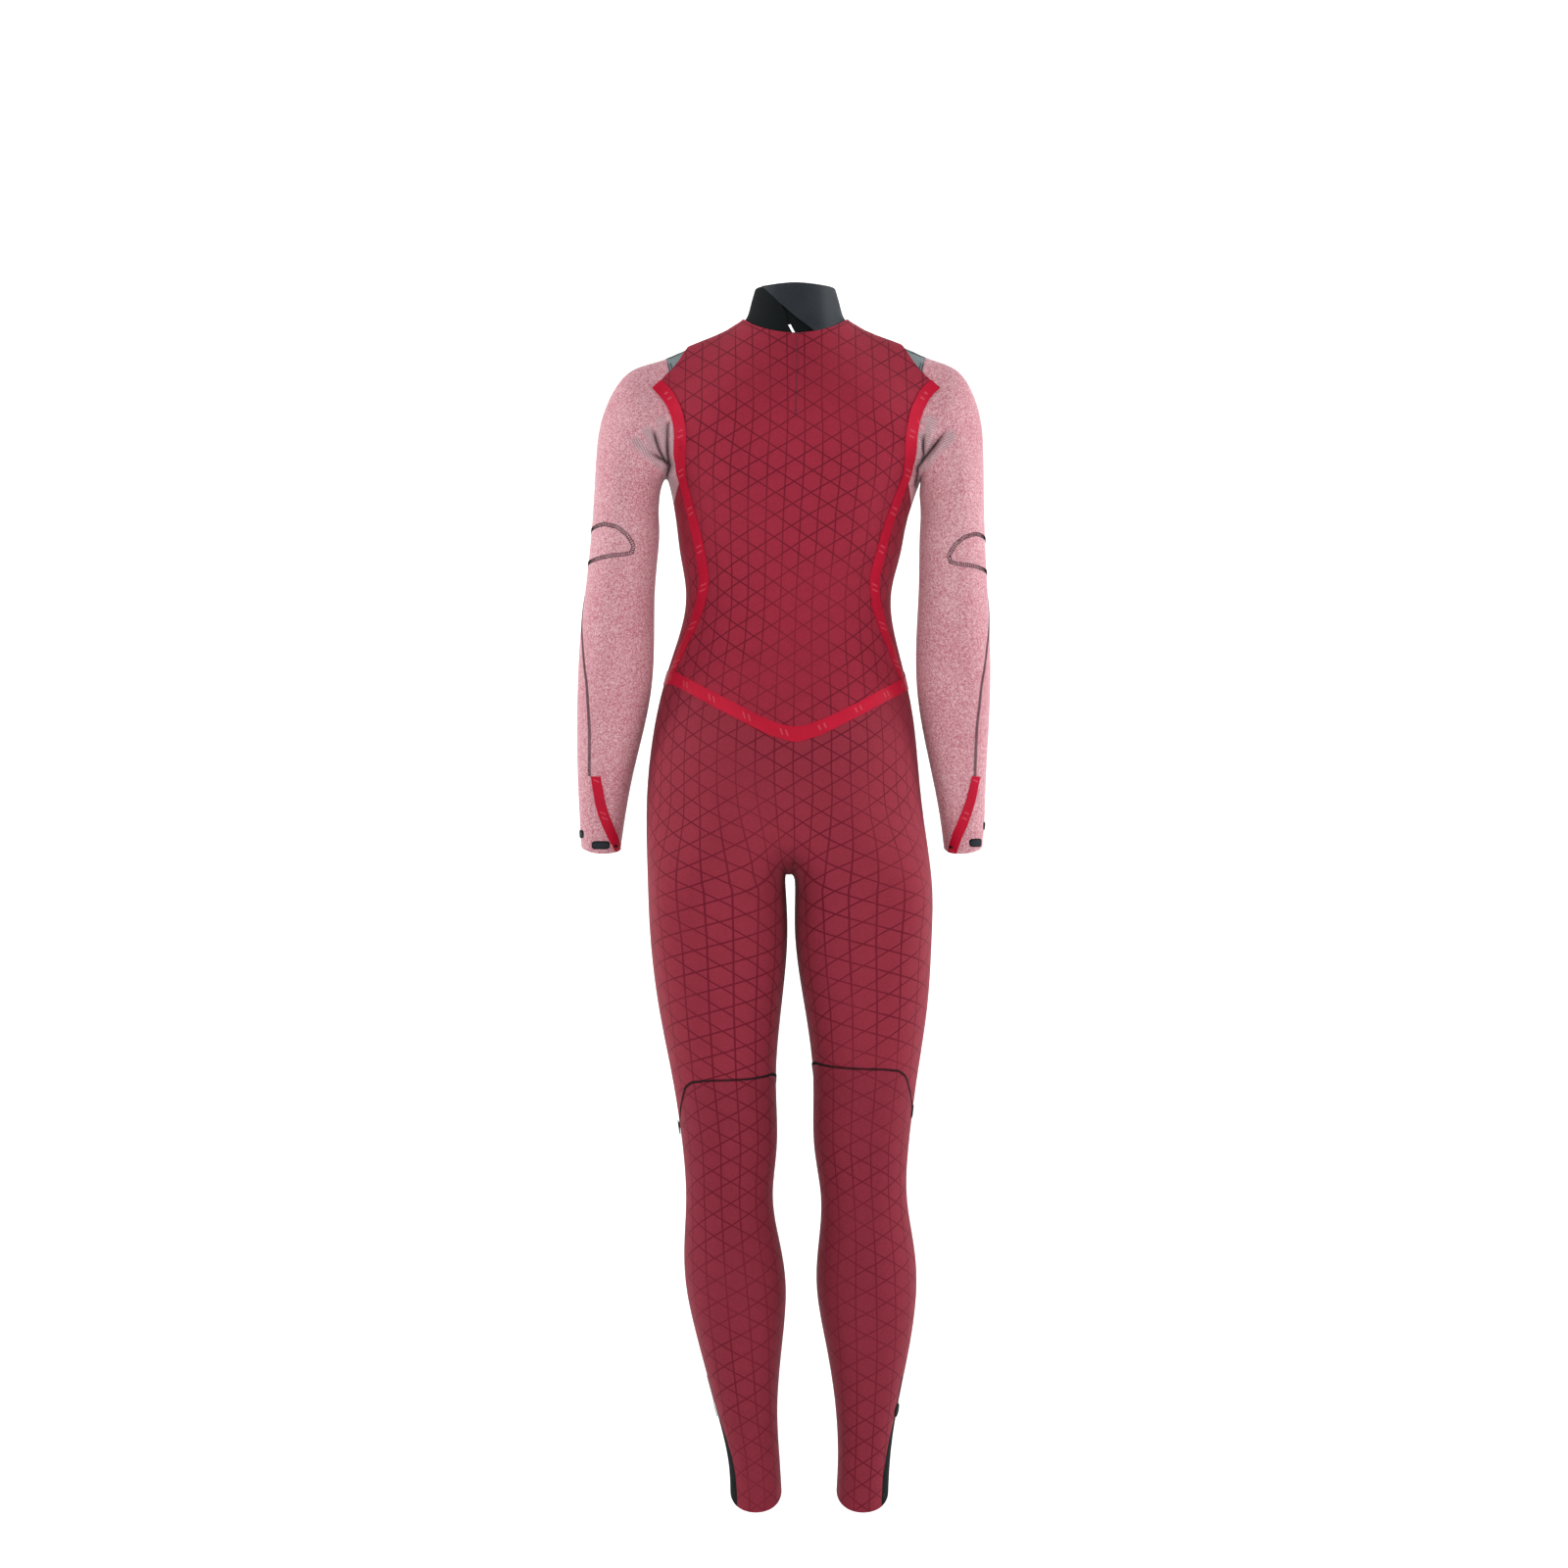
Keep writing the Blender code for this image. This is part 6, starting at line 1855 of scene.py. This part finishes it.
class StudioSettings(bpy.types.PropertyGroup):
    key_power: power_property("Key power", "Large soft light from the left", 25.0)
    fill_power: power_property("Fill power", "Large soft light from the right", 25.0)
    rim_power: power_property("Rim power", "Soft light from behind on the right", 12.0)
    backdrop_power: power_property("Backdrop power", "Each of the two lights on the backdrop", 115.0)
    sky_strength: FloatProperty(name="Sky", description="Even light from all round", default=0.28, min=0.0)
    backdrop: colour_property("Backdrop", "Floor and backdrop", (0.93, 0.93, 0.93))


# Operators

class WETSUIT_OT_form(bpy.types.Operator):
    """Shape the smooth form and cut its seams"""
    bl_idname = "wetsuit.form"
    bl_label = "Form"

    def execute(self, context):
        WORKROOM.clear()
        WORKROOM["form"] = Form(context.scene.wetsuit_sizes)
        return {"FINISHED"}


class WETSUIT_OT_back(bpy.types.Operator):
    """Make the back's inner panel, with the outer back and the zip beneath it"""
    bl_idname = "wetsuit.back"
    bl_label = "Back and zip"

    def execute(self, context):
        make_panels(context, "back_inner_panel", *pair("outer_back"), *pair("zip_tape"), "zip_chain")
        dress_node(context, "zip_slider", "zip_plastic")
        return {"FINISHED"}


class WETSUIT_OT_front(bpy.types.Operator):
    """Make the front panel, with the yokes and tabs at the shoulders"""
    bl_idname = "wetsuit.front"
    bl_label = "Front and shoulders"

    def execute(self, context):
        make_panels(context, "front_panel", *pair("yoke"), *pair("shoulder_tab"))
        return {"FINISHED"}


class WETSUIT_OT_legs(bpy.types.Operator):
    """Make the seat with the thighs, the lower legs, the ankle panels and the dots"""
    bl_idname = "wetsuit.legs"
    bl_label = "Seat and legs"

    def execute(self, context):
        make_panels(context, "seat_thighs", *pair("lower_leg"), *pair("ankle_panel"))
        for name in pair("knee_dot") + pair("ankle_dot"):
            dress_node(context, name, "black_neoprene")
        return {"FINISHED"}


class WETSUIT_OT_sleeves(bpy.types.Operator):
    """Make the sleeves and the elbow panels"""
    bl_idname = "wetsuit.sleeves"
    bl_label = "Sleeves"

    def execute(self, context):
        make_panels(context, *pair("sleeve"), *pair("elbow_panel"))
        return {"FINISHED"}


class WETSUIT_OT_collar(bpy.types.Operator):
    """Make the collar's band and flaps"""
    bl_idname = "wetsuit.collar"
    bl_label = "Collar"

    def execute(self, context):
        make_panels(context, "collar_left_band", "collar_over_flap", "collar_inner_flap")
        return {"FINISHED"}


class WETSUIT_OT_tapes(bpy.types.Operator):
    """Make the bonded tapes on the seams"""
    bl_idname = "wetsuit.tapes"
    bl_label = "Tapes"

    def execute(self, context):
        make_panels(context, "hip_tape", *pair("princess_tape"), *pair("wrist_tape"))
        return {"FINISHED"}


class WETSUIT_OT_stitching(bpy.types.Operator):
    """Sew the knees, elbows, forearms, yokes and the back's dart"""
    bl_idname = "wetsuit.stitching"
    bl_label = "Stitching"

    def sew(self, context, name, stitches, finish="thread"):
        piece = thread_piece(name, stitches, context.scene.wetsuit_sizes.thread_radius)
        add_piece(context, piece, finish, sharp=80.0)

    def execute(self, context):
        step = context.scene.wetsuit_sizes.stitch_pitch
        for side, hand in HANDS:
            outer, top = yoke_places(side)
            ankle = [form().on_leg(side, angle, z) for angle, z in ANKLE_STITCHING[hand]]
            sewn = {"knee": stitches_of(knee_places(side), "zigzag", KNEE_STITCH, step),
                    "elbow": stitches_of(elbow_places(side), "ladder", ELBOW_STITCH, step),
                    "forearm": stitches_of(forearm_places(side), "cross", FOREARM_STITCH, step * 1.2),
                    "yoke": (stitches_of(outer, "twin", YOKE_STITCH, step * 0.8) +
                             stitches_of(top, "single", 0.0, step * 0.8)),
                    "ankle": stitches_of(ankle, "twin", ANKLE_STITCH, step)}
            for seam, stitches in sewn.items():
                self.sew(context, seam + "_stitching_" + hand, stitches)
        dart = stitches_of(back_places(DART), "single", 0.0, step)
        for ends in DART_TACKS:
            dart += stitches_of(back_places(ends, 4), "tack", DART_TACK_WIDTH, DART_TACK_PITCH)
        self.sew(context, "dart_stitching", dart, "dart_thread")
        tacks = []
        for ends, width, lift in BAR_TACKS:
            tacks += stitches_of(back_places(ends, 4, lift), "tack", width, BAR_TACK_PITCH)
        self.sew(context, "bar_tacks", tacks)
        return {"FINISHED"}


def raise_slab(target, grid, low, high):
    """A small closed slab on a grid of points and normals."""
    top, bottom = ([[target.verts.new(point + normal * offset) for point, normal in row] for row in grid]
                   for offset in (high, low))
    rows = range(len(grid) - 1)
    columns = range(len(grid[0]) - 1)
    for r in rows:
        for c in columns:
            target.faces.new((top[r][c], top[r][c + 1], top[r + 1][c + 1], top[r + 1][c]))
            target.faces.new((bottom[r + 1][c], bottom[r + 1][c + 1], bottom[r][c + 1], bottom[r][c]))
    ring = [(0, c) for c in columns] + [(r, len(columns)) for r in rows]
    ring += [(len(rows), c + 1) for c in reversed(columns)] + [(r + 1, 0) for r in reversed(rows)]
    for (r, c), (next_r, next_c) in zip(ring, ring[1:] + ring[:1]):
        target.faces.new((top[next_r][next_c], top[r][c], bottom[r][c], bottom[next_r][next_c]))


class WETSUIT_OT_grips(bpy.types.Operator):
    """Set the rubber grips round the cuffs"""
    bl_idname = "wetsuit.grips"
    bl_label = "Cuff grips"

    def execute(self, context):
        for side, hand in HANDS:
            self.set_grips(context, "cuff_grips_" + hand, side, GRIPS[hand], 0.0, "black_neoprene")
            self.set_grips(context, "cuff_grip_faces_" + hand, side, GRIPS[hand], GRIP_RIM, "smooth_skin")
        return {"FINISHED"}

    def set_grips(self, context, name, side, places, inset, finish):
        """One layer of the grips, with rounded ends; the inset layer lies on the first one."""
        pieces = bmesh.new()
        low = SEAM_GAP + (GRIP_WALL if inset else 0.0)
        for middle, height in places:
            grid = []
            for v in np.linspace(-0.5, 0.5, 6):
                row = []
                for u in np.linspace(-0.5, 0.5, 13):
                    across = u * (GRIP_WIDTH - 2.0 * inset)
                    rise = v * (GRIP_HEIGHT - 2.0 * inset) * (1.0 - 0.45 * abs(2.0 * u) ** 8)
                    angle = middle + math.degrees(across / GRIP_GIRTH_RADIUS)
                    row.append(form().on_sleeve(side, float(angle), float(height + rise)))
                grid.append(row)
            raise_slab(pieces, grid, low, low + GRIP_WALL)
        bmesh.ops.recalc_face_normals(pieces, faces=pieces.faces[:])
        mesh = bpy.data.meshes.new(name)
        pieces.to_mesh(mesh)
        pieces.free()
        add_piece(context, bpy.data.objects.new(name, mesh), finish)


class WETSUIT_OT_studio(bpy.types.Operator):
    """Set up the camera, the lights, the floor and the backdrop"""
    bl_idname = "wetsuit.studio"
    bl_label = "Studio"

    def execute(self, context):
        settings = context.scene.wetsuit_studio
        lens = bpy.data.cameras.new("camera")
        lens.sensor_width = SENSOR
        lens.lens = SENSOR * -CAMERA_POINT[1] / CAMERA_REACH
        camera = bpy.data.objects.new("camera", lens)
        camera.location = CAMERA_POINT
        camera.rotation_euler = (math.radians(90.0), 0.0, 0.0)
        context.scene.collection.objects.link(camera)
        context.scene.camera = camera
        context.scene.view_settings.view_transform = "Standard"
        for name, place, aim, size, power in LAMPS:
            self.hang_lamp(context, name, place, aim, size, getattr(settings, power))
        world = bpy.data.worlds.new("sky")
        world.use_nodes = True
        sky = world.node_tree.nodes["Background"].inputs
        sky["Color"].default_value = (1.0, 1.0, 1.0, 1.0)
        sky["Strength"].default_value = settings.sky_strength
        context.scene.world = world
        self.make_cove(context, settings)
        return {"FINISHED"}

    def hang_lamp(self, context, name, place, aim, size, power):
        """A round soft lamp that faces a point."""
        lamp = bpy.data.lights.new(name, "AREA")
        lamp.shape = "DISK"
        lamp.size = size
        lamp.energy = power
        light = bpy.data.objects.new(name, lamp)
        light.location = place
        light.rotation_euler = (Vector(aim) - Vector(place)).to_track_quat("-Z", "Y").to_euler()
        context.scene.collection.objects.link(light)

    def make_cove(self, context, settings):
        """Floor that curves up into the backdrop."""
        profile = [(-COVE_REACH, FLOOR_Z)]
        for turn in np.radians(np.linspace(-90.0, 0.0, 13)):
            profile.append((BACKDROP_Y + COVE_BEND * math.cos(turn),
                            FLOOR_Z + COVE_BEND + COVE_BEND * math.sin(turn)))
        profile.append((BACKDROP_Y + COVE_BEND, FLOOR_Z + COVE_HEIGHT))
        points = [(x, y, z) for y, z in profile for x in (-COVE_REACH, COVE_REACH)]
        faces = [(2 * k, 2 * k + 1, 2 * k + 3, 2 * k + 2) for k in range(len(profile) - 1)]
        mesh = new_mesh("backdrop", points, faces)
        mesh.materials.append(backdrop_material(settings.backdrop))
        mesh.shade_smooth()
        backdrop = bpy.data.objects.new("backdrop", mesh)
        context.scene.collection.objects.link(backdrop)


MAKERS = (WETSUIT_OT_form, WETSUIT_OT_back, WETSUIT_OT_front, WETSUIT_OT_legs, WETSUIT_OT_sleeves,
          WETSUIT_OT_collar, WETSUIT_OT_tapes, WETSUIT_OT_stitching, WETSUIT_OT_grips, WETSUIT_OT_studio)


class WETSUIT_PT_pieces(bpy.types.Panel):
    bl_idname = "WETSUIT_PT_pieces"
    bl_label = "Wetsuit"
    bl_space_type = "VIEW_3D"
    bl_region_type = "UI"
    bl_category = "Wetsuit"

    def draw(self, context):
        for group in (context.scene.wetsuit_sizes, context.scene.wetsuit_colours,
                      context.scene.wetsuit_studio):
            box = self.layout.box()
            for name in group.__annotations__:
                box.prop(group, name)
        for maker in MAKERS:
            self.layout.operator(maker.bl_idname)


CLASSES = (WetsuitSizes, WetsuitColours, StudioSettings, *MAKERS, WETSUIT_PT_pieces)


def register():
    for item in CLASSES:
        bpy.utils.register_class(item)
    bpy.types.Scene.wetsuit_sizes = PointerProperty(type=WetsuitSizes)
    bpy.types.Scene.wetsuit_colours = PointerProperty(type=WetsuitColours)
    bpy.types.Scene.wetsuit_studio = PointerProperty(type=StudioSettings)


def unregister():
    del bpy.types.Scene.wetsuit_studio
    del bpy.types.Scene.wetsuit_colours
    del bpy.types.Scene.wetsuit_sizes
    for item in reversed(CLASSES):
        bpy.utils.unregister_class(item)


def main():
    register()
    bpy.ops.wetsuit.form()
    bpy.ops.wetsuit.back()
    bpy.ops.wetsuit.front()
    bpy.ops.wetsuit.legs()
    bpy.ops.wetsuit.sleeves()
    bpy.ops.wetsuit.collar()
    bpy.ops.wetsuit.tapes()
    bpy.ops.wetsuit.stitching()
    bpy.ops.wetsuit.grips()
    bpy.ops.wetsuit.studio()


if __name__ == "__main__":
    main()
